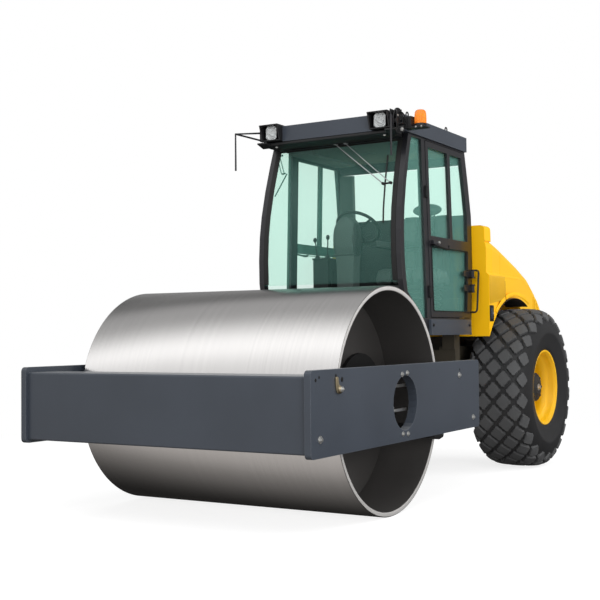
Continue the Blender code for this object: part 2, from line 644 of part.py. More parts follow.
def tyre(bead, centre):
    """One tyre: diamond blocks between crossing grooves, then smooth sides down to the beads."""
    lines = tread_lines()
    last = len(lines) - 1
    bm = bmesh.new()

    def vert(turn, x, radius):
        angle = 2 * pi * turn / TREAD_AROUND
        return bm.verts.new((centre[0] + x, centre[1] + radius * cos(angle), centre[2] + radius * sin(angle)))

    def shift(j):
        return 0.5 * (j % 2)

    def low(j):
        return lines[j][1] - (0.0 if j in (0, last) else TREAD_DEPTH)

    crossings = [[vert(i + shift(j) + 0.5, lines[j][0], low(j)) for i in range(TREAD_AROUND)] for j in range(last + 1)]
    mids = {j: [vert(i + shift(j), lines[j][0], low(j)) for i in range(TREAD_AROUND)] for j in (0, last)}

    def crossing(turn, j):
        return crossings[j][int(round(turn - shift(j) - 0.5)) % TREAD_AROUND]

    def inset(spots):
        """Top corners of a block: its outline drawn in towards its middle and lifted to the crown."""
        turn = sum(t for t, _ in spots) / len(spots)
        row = sum(j for _, j in spots) / len(spots)
        corners = []
        for t, j in spots:
            t, j = t + (turn - t) * TREAD_GROOVE * 2, j + (row - j) * TREAD_GROOVE * 2
            k = min(int(j), last - 1)
            (x0, r0), (x1, r1) = lines[k], lines[k + 1]
            corners.append(vert(t, x0 + (x1 - x0) * (j - k), r0 + (r1 - r0) * (j - k)))
        return corners

    for j in range(1, last):
        for i in range(TREAD_AROUND):
            turn = i + shift(j)
            spots = [(turn - 0.5, j), (turn, j - 1), (turn + 0.5, j), (turn, j + 1)]
            foot = [crossing(t, k) for t, k in spots]
            top = inset(spots)
            bm.faces.new((top[0], top[1], top[2]))
            bm.faces.new((top[0], top[2], top[3]))
            for k in range(4):
                bm.faces.new((foot[k], foot[(k + 1) % 4], top[(k + 1) % 4], top[k]))
    for j, step in ((0, 1), (last, -1)):
        for i in range(TREAD_AROUND):
            turn = i + shift(j)
            a, b, tip = crossing(turn - 0.5, j), crossing(turn + 0.5, j), crossing(turn, j + step)
            mid = mids[j][i]
            top_a, top_b, top_tip = inset([(turn - 0.5, j), (turn + 0.5, j), (turn, j + step)])
            bm.faces.new((top_a, top_b, top_tip))
            bm.faces.new((b, tip, top_tip, top_b))
            bm.faces.new((tip, a, top_a, top_tip))
            bm.faces.new((a, mid, top_a))
            bm.faces.new((mid, top_b, top_a))
            bm.faces.new((mid, b, top_b))

    side = [(TYRE_HALF_WIDTH - 0.010, TYRE_RADIUS - 0.280), (RIM_HALF + 0.006, bead + 0.050),
            (RIM_HALF - 0.020, bead + 0.024), (RIM_HALF - 0.022, bead), (RIM_HALF - 0.060, bead),
            (RIM_HALF - 0.010, TYRE_RADIUS - 0.200), (0.0, TYRE_RADIUS - 0.070)]
    rings = [(x, r) for x, r in side] + [(-x, r) for x, r in reversed(side[:-1])]

    def edge(j):
        out = []
        for i in range(TREAD_AROUND):
            out += [mids[j][i], crossings[j][i]]
        return out

    loops = [edge(last)]
    for x, r in rings:
        loops.append([vert(shift(last) + k / 2, x, r) for k in range(WHEEL_STEPS)])
    loops.append(edge(0))
    for near, far in zip(loops, loops[1:]):
        for k in range(WHEEL_STEPS):
            bm.faces.new((near[k], near[(k + 1) % WHEEL_STEPS], far[(k + 1) % WHEEL_STEPS], far[k]))
    return from_bmesh(bm, "tyre")


def wheels():
    """Two driven wheels: a wide tyre on a deep rim with its disc set in from the outer edge."""
    seat = RIM_RADIUS - 0.021
    bead = seat + TOUCH
    shell = [(RIM_RADIUS, RIM_HALF), (RIM_RADIUS, RIM_HALF - 0.012), (seat, RIM_HALF - 0.018),
             (seat, RIM_HALF - 0.075), (RIM_WELL_RADIUS, RIM_HALF - 0.110)]
    inner = [(RIM_WELL_RADIUS - RIM_WALL, RIM_HALF - 0.112), (seat - RIM_WALL, RIM_HALF - 0.070),
             (seat - RIM_WALL, RIM_HALF)]
    disc_in = DISC_X - WHEEL_X
    disc_out = disc_in + 0.018
    well = RIM_WELL_RADIUS - RIM_WALL
    centre_part = [(well, disc_in), (0.0, disc_in), (0.0, disc_out + 0.080), (0.092, disc_out + 0.080),
                   (0.105, disc_out), (well, disc_out)]
    rim = shell + [(r, -x) for r, x in reversed(shell)] + [(r, -x) for r, x in reversed(inner)]
    rim += centre_part + inner
    for side, mark in ((1, "left"), (-1, "right")):
        centre = (side * WHEEL_X, AXLE_Y, TYRE_RADIUS)
        on_axis(piece("tyre_" + mark, "rubber", tyre(bead, centre), smooth=25), centre)
        facing = [(r, side * x) for r, x in rim]
        on_axis(piece("rim_" + mark, "yellow", turned(facing, WHEEL_STEPS, centre)), centre)


# The cab's side outline as (y behind the windscreen's foremost point, z), from the toe round the back
CAB_FRONT = ((0.052, 1.530), (0.012, 1.700), (0.0, 1.900), (0.006, 2.100), (0.030, 2.280),
             (0.082, 2.500), (0.150, 2.720), (0.215, CAB_TOP))
CAB_REAR = ((1.395, CAB_TOP), (1.450, 2.620), (1.496, 2.330), (1.490, WAIST_Z), (1.478, 1.850),
            (1.440, 1.560), (1.410, SILL_TOP), (1.405, SILL_BOTTOM))


def cab_line(table, inset=0.0):
    """Return one edge of the cab's side outline, moved into the cab by the inset."""
    return [(CAB_FRONT_Y + y + inset, z) for y, z in table]


def edge_at(table, z):
    """Return where one edge of the cab's outline lies at a height."""
    for (y0, z0), (y1, z1) in zip(table, table[1:]):
        if min(z0, z1) <= z <= max(z0, z1):
            return CAB_FRONT_Y + y0 + (y1 - y0) * (z - z0) / (z1 - z0)
    return CAB_FRONT_Y + table[0][0]


def floor_top(y):
    """Return the height of the cab floor's upper face, which slopes up at the toe."""
    y0, z0 = CAB_FRONT_Y + CAB_FRONT[0][0] + 0.030, TOE_Z + 0.030
    y1, z1 = TOE_Y + 0.020, SILL_BOTTOM + FLOOR
    return z1 if y > y1 else z0 + (z1 - z0) * (y - y0) / (y1 - y0)


def door_outline(grow):
    """The door's outline, grown by a distance for the opening that it closes."""
    back = 0.058 - grow
    low, high = SILL_TOP + 0.020 - grow, CAB_TOP - DOOR_TOP_GAP + grow
    heights = (low, 1.560, 1.850, WAIST_Z, 2.330, 2.620, high)
    rear = [(edge_at(CAB_REAR, z) - back, z) for z in heights]
    return [(DOOR_FRONT_Y - grow, low), *rear, (DOOR_FRONT_Y - grow, high)]


def hinge_rod(side, low, high):
    """A stretch of the door hinge's barrel, upright on the joint's axis once the cab's lean is on it."""
    start = (side * HINGE_X / lean_at(low), HINGE_Y, low)
    end = (side * HINGE_X / lean_at(high), HINGE_Y, high)
    return rod(start, end, HINGE_RADIUS, 12)


def cab():
    """The cab: floor, frame of bowed side walls, windscreen, quarter glass and rear glass."""
    toe = (CAB_FRONT_Y + CAB_FRONT[0][0], TOE_Z)
    floor = [toe, (TOE_Y, SILL_BOTTOM), (CAB_FRONT_Y + 1.405, SILL_BOTTOM), (CAB_FRONT_Y + 1.405, SILL_BOTTOM + FLOOR),
             (TOE_Y + 0.020, SILL_BOTTOM + FLOOR), (toe[0] + 0.030, TOE_Z + 0.030), (toe[0] - 0.004, TOE_Z + 0.020)]
    side_out = CAB_HALF + 0.022
    slab = prism(floor, -CAB_HALF + CAB_WALL + 0.010, CAB_HALF - CAB_WALL - 0.010)
    sills = []
    for side in (1, -1):
        sill = [(TOE_Y - 0.015, SILL_BOTTOM), (CAB_FRONT_Y + 1.350, SILL_BOTTOM),
                (CAB_FRONT_Y + 1.350, SILL_TOP), (TOE_Y - 0.015, SILL_TOP)]
        low, high = sorted((side * (CAB_HALF - CAB_WALL - 0.02), side * side_out))
        sills.append(prism(sill, low, high))
    piece("cab_floor", "frame_grey", slab, sills, lean=True)

    outline = cab_line(CAB_FRONT) + cab_line(CAB_REAR)[:-2]
    outline += [(CAB_FRONT_Y + 1.412, SILL_TOP + TOUCH), (TOE_Y - 0.020, SILL_TOP + TOUCH),
                (TOE_Y - 0.020, SILL_BOTTOM + 0.040)]
    quarter_top = CAB_TOP - DOOR_TOP_GAP
    quarter_front = [(edge_at(CAB_FRONT, z) + 0.060, z)
                     for z in (1.600, 1.750, 1.900, 2.100, 2.280, 2.500, 2.720, quarter_top)]
    quarter = [(DOOR_FRONT_Y - 0.075, 1.390), (TOE_Y - 0.120, 1.390), *quarter_front,
               (DOOR_FRONT_Y - 0.075, quarter_top)]
    walls = []
    for side in (1, -1):
        low, high = sorted((side * (CAB_HALF - CAB_WALL), side * CAB_HALF))
        walls.append(prism(outline, low, high, holes=[quarter, door_outline(DOOR_GAP)]))
    inside = CAB_HALF - CAB_WALL + 0.010
    cross = []
    top_front = edge_at(CAB_FRONT, HEADER_Z + 0.020)
    cross.append(box((-inside, inside), (top_front + 0.012, top_front + 0.090), (HEADER_Z, CAB_TOP)))
    cross.append(box((-inside, inside), (toe[0] + 0.012, toe[0] + 0.075), (TOE_Z + 0.060, TOE_Z + 0.120)))
    rear_top = edge_at(CAB_REAR, 2.860)
    cross.append(box((-inside, inside), (rear_top - 0.060, rear_top - 0.004), (2.790, CAB_TOP)))
    heights = (1.400, 1.560, 1.850, WAIST_Z, 2.330, REAR_WALL_TOP)
    rear_low = [(edge_at(CAB_REAR, z) - 0.045, z) for z in heights]
    rear_low += [(edge_at(CAB_REAR, z) - 0.004, z) for z in reversed(heights)]
    cross.append(prism(rear_low, -inside, inside))
    for side in (1, -1):
        for z in DOOR_HINGES:
            for low in (z - TOUCH - HINGE_LUG, z + HINGE_HEIGHT + TOUCH):
                tip = HINGE_X / lean_at(low)
                post = edge_at(CAB_REAR, low + HINGE_LUG) - 0.050
                beside = (CAB_HALF + 0.006, HINGE_Y + HINGE_RADIUS * 0.4)
                plan = [(CAB_HALF - 0.010, post), (beside[0], post), beside,
                        *arc((tip, HINGE_Y), HINGE_RADIUS, 145, 380, 8),
                        (tip + HINGE_RADIUS, post + 0.013), (CAB_HALF - 0.010, post + 0.012)]
                cross.append(prism([(side * x, y) for x, y in plan], low, low + HINGE_LUG, "Z"))
    piece("cab_frame", "black", walls[0], [walls[1], *cross], lean=True)

    pane = [(edge_at(CAB_FRONT, z), z) for z in (TOE_Z + 0.150, 1.700, 1.900, 2.100, 2.280, 2.500, 2.720,
                                               HEADER_Z - 0.006)]
    band = [(y + 0.006, z) for y, z in pane] + [(y + 0.006 + GLASS, z) for y, z in reversed(pane)]
    inside = CAB_HALF - CAB_WALL - TOUCH
    piece("windscreen", "glass", prism(band, -inside, inside), lean=True)
    pane = [(edge_at(CAB_REAR, z), z) for z in (REAR_WALL_TOP + TOUCH, 2.620, 2.780)]
    band = [(y - 0.020, z) for y, z in pane] + [(y - 0.020 - GLASS, z) for y, z in reversed(pane)]
    piece("rear_window", "glass", prism(band, -inside, inside), lean=True)
    for side, mark in ((1, "left"), (-1, "right")):
        low, high = sorted((side * (CAB_HALF - 0.020 - GLASS), side * (CAB_HALF - 0.020)))
        shrunk = [(y + (0.001 if y < DOOR_FRONT_Y - 0.2 else -0.001), z + (0.001 if z < 2 else -0.001))
                  for y, z in quarter]
        piece("quarter_glass_" + mark, "glass", prism(shrunk, low, high), lean=True)


def doors():
    """Two doors hinged at the rear, each a pressed frame with one pane behind its middle rail."""
    outline = door_outline(0.0)
    low_z, high_z = outline[0][1], outline[-1][1]
    front = DOOR_FRONT_Y
    opening = [(front + DOOR_RAIL, low_z + DOOR_RAIL)]
    for z in (low_z + DOOR_RAIL, 1.560, 1.850, WAIST_Z, 2.330, 2.620, high_z - DOOR_RAIL):
        opening.append((edge_at(CAB_REAR, z) - 0.058 - DOOR_RAIL, z))
    opening.append((front + DOOR_RAIL, high_z - DOOR_RAIL))
    for side, mark in ((1, "left"), (-1, "right")):
        def span(a, b):
            return sorted((side * a, side * b))

        outside = CAB_HALF + 0.004
        panel = prism(outline, *span(outside - DOOR_WALL, outside), holes=[opening])
        rail_high = WAIST_Z - 0.015
        rear = edge_at(CAB_REAR, WAIST_Z) - 0.070
        rail = box(span(outside - 0.024, outside), (front + 0.02, rear), (rail_high - RAIL_HEIGHT, rail_high))
        post_y = PIVOT_Y + 0.385
        post = box(span(outside - 0.024, outside), (post_y, post_y + 0.055), (rail_high - 0.02, high_z - 0.02))
        knuckles = []
        for z in DOOR_HINGES:
            top = z + HINGE_HEIGHT
            strap = box(span(outside - 0.002, outside + 0.008), (HINGE_Y - 0.150, HINGE_Y - 0.010), (z, top))
            arm = box(span(outside - 0.002, HINGE_X / lean_at(z)), (HINGE_Y - 0.020, HINGE_Y + 0.010), (z, top))
            knuckles += [strap, arm, hinge_rod(side, z + 0.0005, top - 0.0005)]
        grip = box(span(outside - 0.004, outside + 0.032), (front + 0.030, front + 0.130), (WAIST_Z - 0.085, WAIST_Z - 0.055))
        item = piece("door_" + mark, "black", panel, [rail, post, grip, *knuckles], lean=True)
        axis = (side * HINGE_X, HINGE_Y, WAIST_Z)
        on_axis(item, axis)
        shrunk = [(y + (0.001 if y < front + 0.3 else -0.001), z + (0.001 if z < 2 else -0.001)) for y, z in opening]
        pane = prism(shrunk, *span(outside - DOOR_WALL + 0.002, outside - DOOR_WALL + 0.002 + GLASS))
        item = piece("door_glass_" + mark, "glass", pane, lean=True)
        on_axis(item, axis)


def roof():
    """The roof slab with its front fascia, the two lamp housings, the beacon and the mirror arms."""
    bottom = CAB_TOP + TOUCH
    half = [(LAMP_IN - TOUCH, ROOF_FRONT_Y), (LAMP_IN - TOUCH, ROOF_FRONT_Y + LAMP_DEPTH),
            (ROOF_HALF, ROOF_FRONT_Y + LAMP_DEPTH), (ROOF_HALF, ROOF_REAR_Y)]
    plan = half + [(-x, y) for x, y in reversed(half)]
    piece("roof", "frame_grey", prism(plan, bottom, ROOF_TOP, "Z"))
    for side, mark in ((1, "left"), (-1, "right")):
        def span(a, b):
            return sorted((side * a, side * b))

        rear = ROOF_FRONT_Y + LAMP_DEPTH - TOUCH
        shell = prism([(LAMP_FRONT_Y + LAMP_VISOR / 2, LAMP_BOTTOM), (rear, LAMP_BOTTOM), (rear, LAMP_TOP),
                       (LAMP_FRONT_Y - LAMP_VISOR, LAMP_TOP)], *span(LAMP_IN, LAMP_OUT))
        hollow = box(span(LAMP_IN + 0.010, LAMP_OUT - 0.010), (LAMP_FRONT_Y - 0.05, LAMP_FRONT_Y + 0.085),
                     (LAMP_BOTTOM + 0.008, LAMP_TOP - 0.008))
        piece("lamp_housing_" + mark, "black", shell, [], [hollow])
        lens = box(span(LAMP_IN + 0.036, LAMP_OUT - 0.036), (LAMP_FRONT_Y + 0.020, LAMP_FRONT_Y + 0.085 - TOUCH),
                   (LAMP_BOTTOM + 0.008 + TOUCH, LAMP_TOP - 0.008 - TOUCH))
        piece("work_lamp_" + mark, "lamp", lens)

        tip = (side * (LAMP_OUT + 0.121), LAMP_FRONT_Y - 0.204, 2.958)
        root = LAMP_OUT + 0.012
        drop = (tip[0], tip[1], 2.647)
        arm = tube([(side * root, LAMP_FRONT_Y + 0.030, 2.990), tip, drop], 0.008)
        lower = tube([(side * root, LAMP_FRONT_Y + 0.030, 2.925), tip], 0.008)
        foot = box(span(LAMP_OUT + TOUCH, LAMP_OUT + 0.022), (LAMP_FRONT_Y + 0.018, LAMP_FRONT_Y + 0.060), (2.915, 3.005))
        piece("mirror_arm_" + mark, "black", foot, [arm, lower])

    shelf_y = ROOF_FRONT_Y + 0.100
    shelf = box((ROOF_HALF + TOUCH, 0.850), (shelf_y, shelf_y + 0.100), (2.915, 2.925))
    post = box((ROOF_HALF + TOUCH, 0.735), (shelf_y - 0.010, shelf_y + 0.100), (2.915, 3.010))
    piece("beacon_bracket", "black", shelf, [post])
    at = (0.790, shelf_y + 0.050)
    base = rod((*at, 2.925 + TOUCH), (*at, 2.950), 0.050, 24)
    dome = turned([(0.0, 0.140), (0.034, 0.134), (0.045, 0.112), (0.048, 0.020), (0.0, 0.020)], 24,
                  (*at, 2.925), "Z")
    piece("beacon", "amber", base, [dome])


def interior():
    """Seat, console, steering wheel and the rail behind the seat, as seen through the glass."""
    floor = SILL_BOTTOM + FLOOR + TOUCH
    x = SEAT_X
    seat_y = PIVOT_Y + 0.200
    base = box((x - 0.20, x + 0.20), (seat_y, seat_y + 0.38), (floor, 1.700))
    cushion = box((x - 0.25, x + 0.25), (seat_y - 0.08, seat_y + 0.40), (1.680, 1.840))
    back = prism([(seat_y + 0.34, 1.78), (seat_y + 0.46, 1.78), (seat_y + 0.54, 2.34), (seat_y + 0.45, 2.35)],
                 x - 0.23, x + 0.23)
    rest = prism(rounded([(x - 0.145, 2.330), (x + 0.145, 2.330), (x + 0.145, 2.450), (x - 0.145, 2.450)], 0.045, 3),
                 seat_y + 0.45, seat_y + 0.54, "Y")
    arms = [box((x + at - 0.035, x + at + 0.035), (seat_y - 0.10, seat_y + 0.48), (2.020, 2.085)) for at in (-0.255, 0.255)]
    piece("seat", "seat", base, [cushion, back, rest, *arms])
    x = CONSOLE_X
    con_y = CAB_FRONT_Y + 0.250
    foot = [(y, floor_top(y) + TOUCH) for y in (con_y + 0.02, con_y + 0.16)]
    column = prism([*foot, (con_y + 0.16, 1.96), (con_y + 0.02, 1.96)], x - 0.095, x + 0.095)
    pod = prism(rounded([(x - 0.105, 1.935), (x + 0.105, 1.935), (x + 0.115, 2.265), (x - 0.115, 2.265)],
                        [0.015, 0.015, 0.070, 0.105], 5), con_y, con_y + 0.165, "Y")
    stem = rod((x, con_y + 0.15, 2.02), (x, con_y + 0.260, 2.155), 0.020, 16)
    piece("console", "console", column, [pod, stem])
    tilt = Vector((0.0, 0.110, 0.135)).normalized()
    hub_at = Vector((x, con_y + 0.260, 2.155)) + tilt * (0.010 + TOUCH)
    ring = bpy.data.curves.new("ring", "CURVE")
    ring.dimensions = "3D"
    ring.bevel_depth = 0.015
    ring.bevel_resolution = 1
    spline = ring.splines.new("POLY")
    turn = tilt.to_track_quat("Z", "Y")
    spline.points.add(27)
    for i, point in enumerate(spline.points):
        spot = hub_at + tilt * 0.04 + turn @ Vector((0.19 * cos(2 * pi * i / 28), 0.19 * sin(2 * pi * i / 28), 0))
        point.co = (*spot, 1.0)
    spline.use_cyclic_u = True
    item = bpy.data.objects.new("ring", ring)
    TOOLS.objects.link(item)
    rim = place(as_mesh(item), Matrix.Identity(4))
    hub = rod(hub_at - tilt * 0.010, hub_at + tilt * 0.035, 0.040, 20)
    spokes = []
    for angle in (90, 210, 330):
        out = turn @ Vector((0.19 * cos(radians(angle)), 0.19 * sin(radians(angle)), 0))
        spokes.append(rod(hub_at + tilt * 0.018, hub_at + tilt * 0.04 + out, 0.010, 10))
    piece("steering_wheel", "black", hub, [rim, *spokes])


def hood_section(y, top, inset, bottom):
    """One section of the cowl and hood as (x, z) points, from the left bottom over to the right."""
    taper = HOOD_TAPER * max(0.0, y - COWL_TOP_REAR_Y)
    upper = HOOD_HALF - taper - inset
    lower = upper + LEDGE
    shoulder = HOOD_SHOULDER - inset * 0.5
    ledge = min(LEDGE_Z, top - 0.16)
    high = top - inset
    points = [(lower, bottom), (lower, ledge - 0.012), (upper, ledge + 0.014)]
    points += arc((upper - shoulder, high - shoulder - HOOD_CROWN), shoulder, 0, 80, 4)
    points.append((0.0, high))
    return [(x, z) for x, z in points] + [(-x, z) for x, z in reversed(points[:-1])]


def loft(sections):
    """Join closed loops of points into one closed body with flat ends."""
    bm = bmesh.new()
    rings = [[bm.verts.new(point) for point in ring] for ring in sections]
    count = len(rings[0])
    for a, b in zip(rings, rings[1:]):
        for i in range(count):
            bm.faces.new((a[i], a[(i + 1) % count], b[(i + 1) % count], b[i]))
    bm.faces.new(rings[0])
    bm.faces.new(list(reversed(rings[-1])))
    return from_bmesh(bm, "loft")


# The crest of the hood as (y behind the centre joint, z)
HOOD_CREST = ((0.905, 2.180), (1.060, 2.165), (1.320, 2.120), (1.630, 2.057), (2.020, 1.977), (2.440, 1.874),
              (2.700, 1.760), (2.875, 1.640), (2.980, 1.490), (3.040, 1.340))
HOOD_BACK_Y = PIVOT_Y + HOOD_CREST[-1][0]


def crest_at(y):
    """Return the height of the hood's crest at a place along the machine."""
    for (y0, z0), (y1, z1) in zip(HOOD_CREST, HOOD_CREST[1:]):
        if y0 <= y - PIVOT_Y <= y1:
            return z0 + (z1 - z0) * (y - PIVOT_Y - y0) / (y1 - y0)
    return HOOD_CREST[-1][1]


def body_shell(first, last, inset, bottom, front_inset=0.0, back_inset=0.0):
    """The solid inside the cowl's or hood's skin between two places."""
    stations = [first + front_inset]
    stations += [PIVOT_Y + y for y, _ in HOOD_CREST if first + 0.03 < PIVOT_Y + y < last - 0.03]
    stations.append(last - back_inset)
    return loft([[(x, y, z) for x, z in hood_section(y, crest_at(y), inset, bottom)] for y in stations])


def ledge_at(y):
    """Return the height of the ledge's lower edge at a place along the machine."""
    return min(LEDGE_Z, crest_at(y) - 0.16) - 0.015


def hood_shell(away):
    """The hood's whole skin as a base, what is joined to it and what is cut from it."""
    skin = body_shell(SEAM_Y + RUNNING, HOOD_BACK_Y, 0.0, SKIRT_Z)
    hollow = body_shell(SEAM_Y - 0.1, HOOD_BACK_Y, HOOD_WALL, SKIRT_Z - 0.2, 0.0, HOOD_WALL)
    return skin, [], [hollow, wheel_arch(), *away]


def tail_matrix():
    """Place a slab's middle on the slope of the tail, its thickness square to the slope."""
    first = PIVOT_Y + HOOD_TAIL + 0.020
    last = first + GRILLE_LENGTH
    z0, z1 = crest_at(first), crest_at(last)
    slope = atan2(z1 - z0, GRILLE_LENGTH)
    middle = Vector((0.0, (first + last) / 2, (z0 + z1) / 2 - GRILLE * 0.66))
    return Matrix.Translation(middle) @ Matrix.Rotation(slope, 4, "X")


def tail_slab(thick, grow):
    """A flat slab on the tail's slope, as the grille itself or, grown, as its opening."""
    half = GRILLE_HALF + grow
    reach = GRILLE_LENGTH / 2 + grow
    return place(as_mesh(box((-half, half), (-reach, reach), (-thick / 2, thick / 2))), tail_matrix())


def wheel_arch():
    """The cutter for both wheel arches."""
    return rod((-1.4, AXLE_Y, TYRE_RADIUS), (1.4, AXLE_Y, TYRE_RADIUS), ARCH_RADIUS, 48)


def cowl_and_hood():
    """The fixed cowl behind the cab and the engine hood that lifts at its rear end."""
    axis = Vector((0.0, SEAM_Y + RUNNING / 2, crest_at(SEAM_Y) + HOOD_HINGE_RISE))
    cowl_lugs, hood_lugs = [], []
    for x in (-HOOD_HINGE_X, HOOD_HINGE_X):
        at = axis + Vector((x, 0, 0))
        across = Vector((HOOD_HINGE_HALF, 0, 0))
        low = axis.z - HOOD_HINGE_RISE - 0.020
        pin = rod(at - across * 1.6, at + across * 1.6, HOOD_PIN, 16)
        for end in (-1, 1):
            inner, outer = at.x + end * across.x * 1.06, at.x + end * across.x * 1.6
            cowl_lugs.append(box(sorted((inner, outer)), (SEAM_Y - 0.050, SEAM_Y), (low, axis.z + HOOD_PIN)))
        cowl_lugs.append(pin)
        leaf = box((at.x - across.x, at.x + across.x), (SEAM_Y + RUNNING, SEAM_Y + 0.060), (low, axis.z))
        knuckle = rod(at - across, at + across, HOOD_PIN + 0.008, 16)
        bore = rod(at - across * 1.2, at + across * 1.2, HOOD_PIN + PIN_PLAY, 16)
        hood_lugs.append((leaf, knuckle, bore))
    skin = body_shell(COWL_Y, SEAM_Y, 0.0, SKIRT_Z)
    block = prism(rounded([(-HOOD_HALF + 0.012, 2.10), (HOOD_HALF - 0.012, 2.10), (HOOD_HALF - 0.016, COWL_TOP),
                           (-HOOD_HALF + 0.016, COWL_TOP)], [0, 0, 0.04, 0.04]), COWL_Y, COWL_TOP_REAR_Y, "Y")
    hollow = body_shell(COWL_Y, SEAM_Y + 0.1, HOOD_WALL, SKIRT_Z - 0.2, HOOD_WALL, 0.0)
    piece("cowl", "yellow", skin, [block, *cowl_lugs], [hollow, wheel_arch()])
    tail_y = PIVOT_Y + HOOD_TAIL
    bends = [PIVOT_Y + y for y, _ in HOOD_CREST if 1.400 < y < HOOD_TAIL - 0.020]
    ledge = [(y, ledge_at(y)) for y in (SEAM_Y - 0.1, *bends, tail_y)]
    behind = box((-1.2, 1.2), (tail_y, REAR_Y + 0.2), (SKIRT_Z - 0.3, COWL_TOP + 0.2))
    below = prism([(SEAM_Y - 0.1, SKIRT_Z - 0.3), (tail_y + 0.1, SKIRT_Z - 0.3), (tail_y + 0.1, ledge[-1][1]),
                   *reversed(ledge)], -1.2, 1.2)
    on_axis(piece("hood", "yellow", *hood_shell([behind, below])), axis)
    above = prism([*[(y, z - TOUCH) for y, z in ledge], (tail_y + 0.1, ledge[-1][1] - TOUCH),
                   (tail_y + 0.1, COWL_TOP + 0.2), (SEAM_Y - 0.1, COWL_TOP + 0.2)], -1.2, 1.2)
    for side, mark in ((1, "left"), (-1, "right")):
        other = box(sorted((side * 0.3, -side * 1.2)), (SEAM_Y - 0.1, REAR_Y + 0.2), (SKIRT_Z - 0.3, COWL_TOP + 0.2))
        on_axis(piece("hood_side_" + mark, "yellow", *hood_shell([behind, above, other])), axis)
    ahead = box((-1.2, 1.2), (SEAM_Y - 0.2, tail_y + TOUCH), (SKIRT_Z - 0.3, COWL_TOP + 0.2))
    louvres = []
    for i in range(LOUVRES):
        y = tail_y + 0.075 + i * (HOOD_BACK_Y - tail_y - 0.200) / LOUVRES
        top = crest_at(y + LOUVRE) - 0.200
        if top > SKIRT_Z + 0.120:
            louvres.append(box((-1.2, 1.2), (y, y + LOUVRE), (SKIRT_Z + 0.060, top)))
    on_axis(piece("hood_tail", "yellow", *hood_shell([ahead, tail_slab(GRILLE * 4, TOUCH), *louvres])), axis)
    slots = []
    pitch = GRILLE_LENGTH / (GRILLE_SLOTS + 1)
    for i in range(GRILLE_SLOTS):
        at = (i - (GRILLE_SLOTS - 1) / 2) * pitch
        slot = box((-GRILLE_HALF + 0.030, GRILLE_HALF - 0.030), (at - pitch * 0.32, at + pitch * 0.32), (-0.1, 0.1))
        slots.append(place(as_mesh(slot), tail_matrix()))
    on_axis(piece("hood_grille", "black", tail_slab(GRILLE, 0.0), [], slots), axis)
    for (leaf, knuckle, bore), mark in zip(hood_lugs, ("right", "left")):
        under = body_shell(SEAM_Y, SEAM_Y + 0.2, 0.0, SKIRT_Z)
        under.location.z += TOUCH
        on_axis(piece("hood_hinge_" + mark, "black", leaf, [knuckle], [bore, under]), axis)


def handrails():
    """A bent handrail on each side of the cab, on the post behind the door."""
    ends = ((HINGE_Y + 0.050, 1.830), (HINGE_Y - 0.004, 1.450))
    for side, mark in ((1, "left"), (-1, "right")):
        (high_y, high_z), (low_y, low_z) = ends
        x = side * HANDRAIL_X
        root = [side * (CAB_HALF * lean_at(z) + TOUCH * 2) for _, z in ends]
        line = bent([(root[0], high_y, high_z), (x, high_y, high_z), (x, low_y, low_z), (root[1], low_y, low_z)], 0.030)
        piece("handrail_" + mark, "black", tube(line, 0.009))


def build():
    """Make every sub-part in turn."""
    drum()
    drum_frame()
    drum_carriers()
    scrapers()
    steering_cylinders()
    chassis()
    wheels()
    cab()
    doors()
    roof()
    interior()
    cowl_and_hood()
    handrails()


clear_scene()
PARTS = collection(MODEL)
TOOLS = collection("cutters")
build()
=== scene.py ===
"""Looks of a single-drum road roller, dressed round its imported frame.

Lengths are metres in the frame's axes: +Z is up, the drum end faces -Y, and the
machine's own left side is +X.
"""

import logging
from dataclasses import dataclass
from enum import Enum
from math import atan2, copysign, cos, hypot, pi, radians, sin, sqrt
from typing import Iterable, Optional, Sequence

import bmesh
import bpy
from mathutils import Matrix, Vector


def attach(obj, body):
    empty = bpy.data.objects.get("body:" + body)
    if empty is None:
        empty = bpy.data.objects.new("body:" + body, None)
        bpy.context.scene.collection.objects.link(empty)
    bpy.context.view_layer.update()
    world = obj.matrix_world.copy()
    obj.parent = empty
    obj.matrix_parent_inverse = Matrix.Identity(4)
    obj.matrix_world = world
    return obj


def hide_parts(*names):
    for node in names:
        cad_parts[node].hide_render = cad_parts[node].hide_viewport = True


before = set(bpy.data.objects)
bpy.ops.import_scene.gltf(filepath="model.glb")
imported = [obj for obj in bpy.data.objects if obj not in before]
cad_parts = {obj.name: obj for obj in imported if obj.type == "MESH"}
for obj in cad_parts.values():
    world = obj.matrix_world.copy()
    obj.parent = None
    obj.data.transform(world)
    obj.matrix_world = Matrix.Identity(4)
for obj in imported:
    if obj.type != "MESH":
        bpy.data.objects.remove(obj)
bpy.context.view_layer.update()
LOG = logging.getLogger("roller")
Point = Sequence[float]


class Grain(Enum):
    """Surface structure that a finish shows close up."""

    PAINT = "paint"
    BRUSHED = "brushed"
    CAST = "cast"
    RUBBER = "rubber"
    MOULDED = "moulded"
    VINYL = "vinyl"
    GLASS = "glass"
    LENS = "lens"


@dataclass(frozen=True)
class Finish:
    """One surface finish of the machine."""

    name: str
    slot: str
    colour: tuple[float, float, float]
    roughness: float
    grain: Grain
    metallic: float = 0.0
    coat: float = 0.0
    # Share of paler sharp edges: partly paint wear, partly a painted highlight along the edges.
    edge: float = 0.0
    alpha: float = 1.0
    transmission: float = 0.0
    variation: float = 0.10
    bump: float = 0.10
    tint: tuple[float, float, float] = (0.929, 0.996, 0.968)
    veil: float = 0.042
    glow: float = 0.0
    gleam: float = 0.5
    # Share of grey on upward faces: partly settled dirt, partly a painted highlight of the sky on the tops.
    dust_and_sheen: float = 0.0


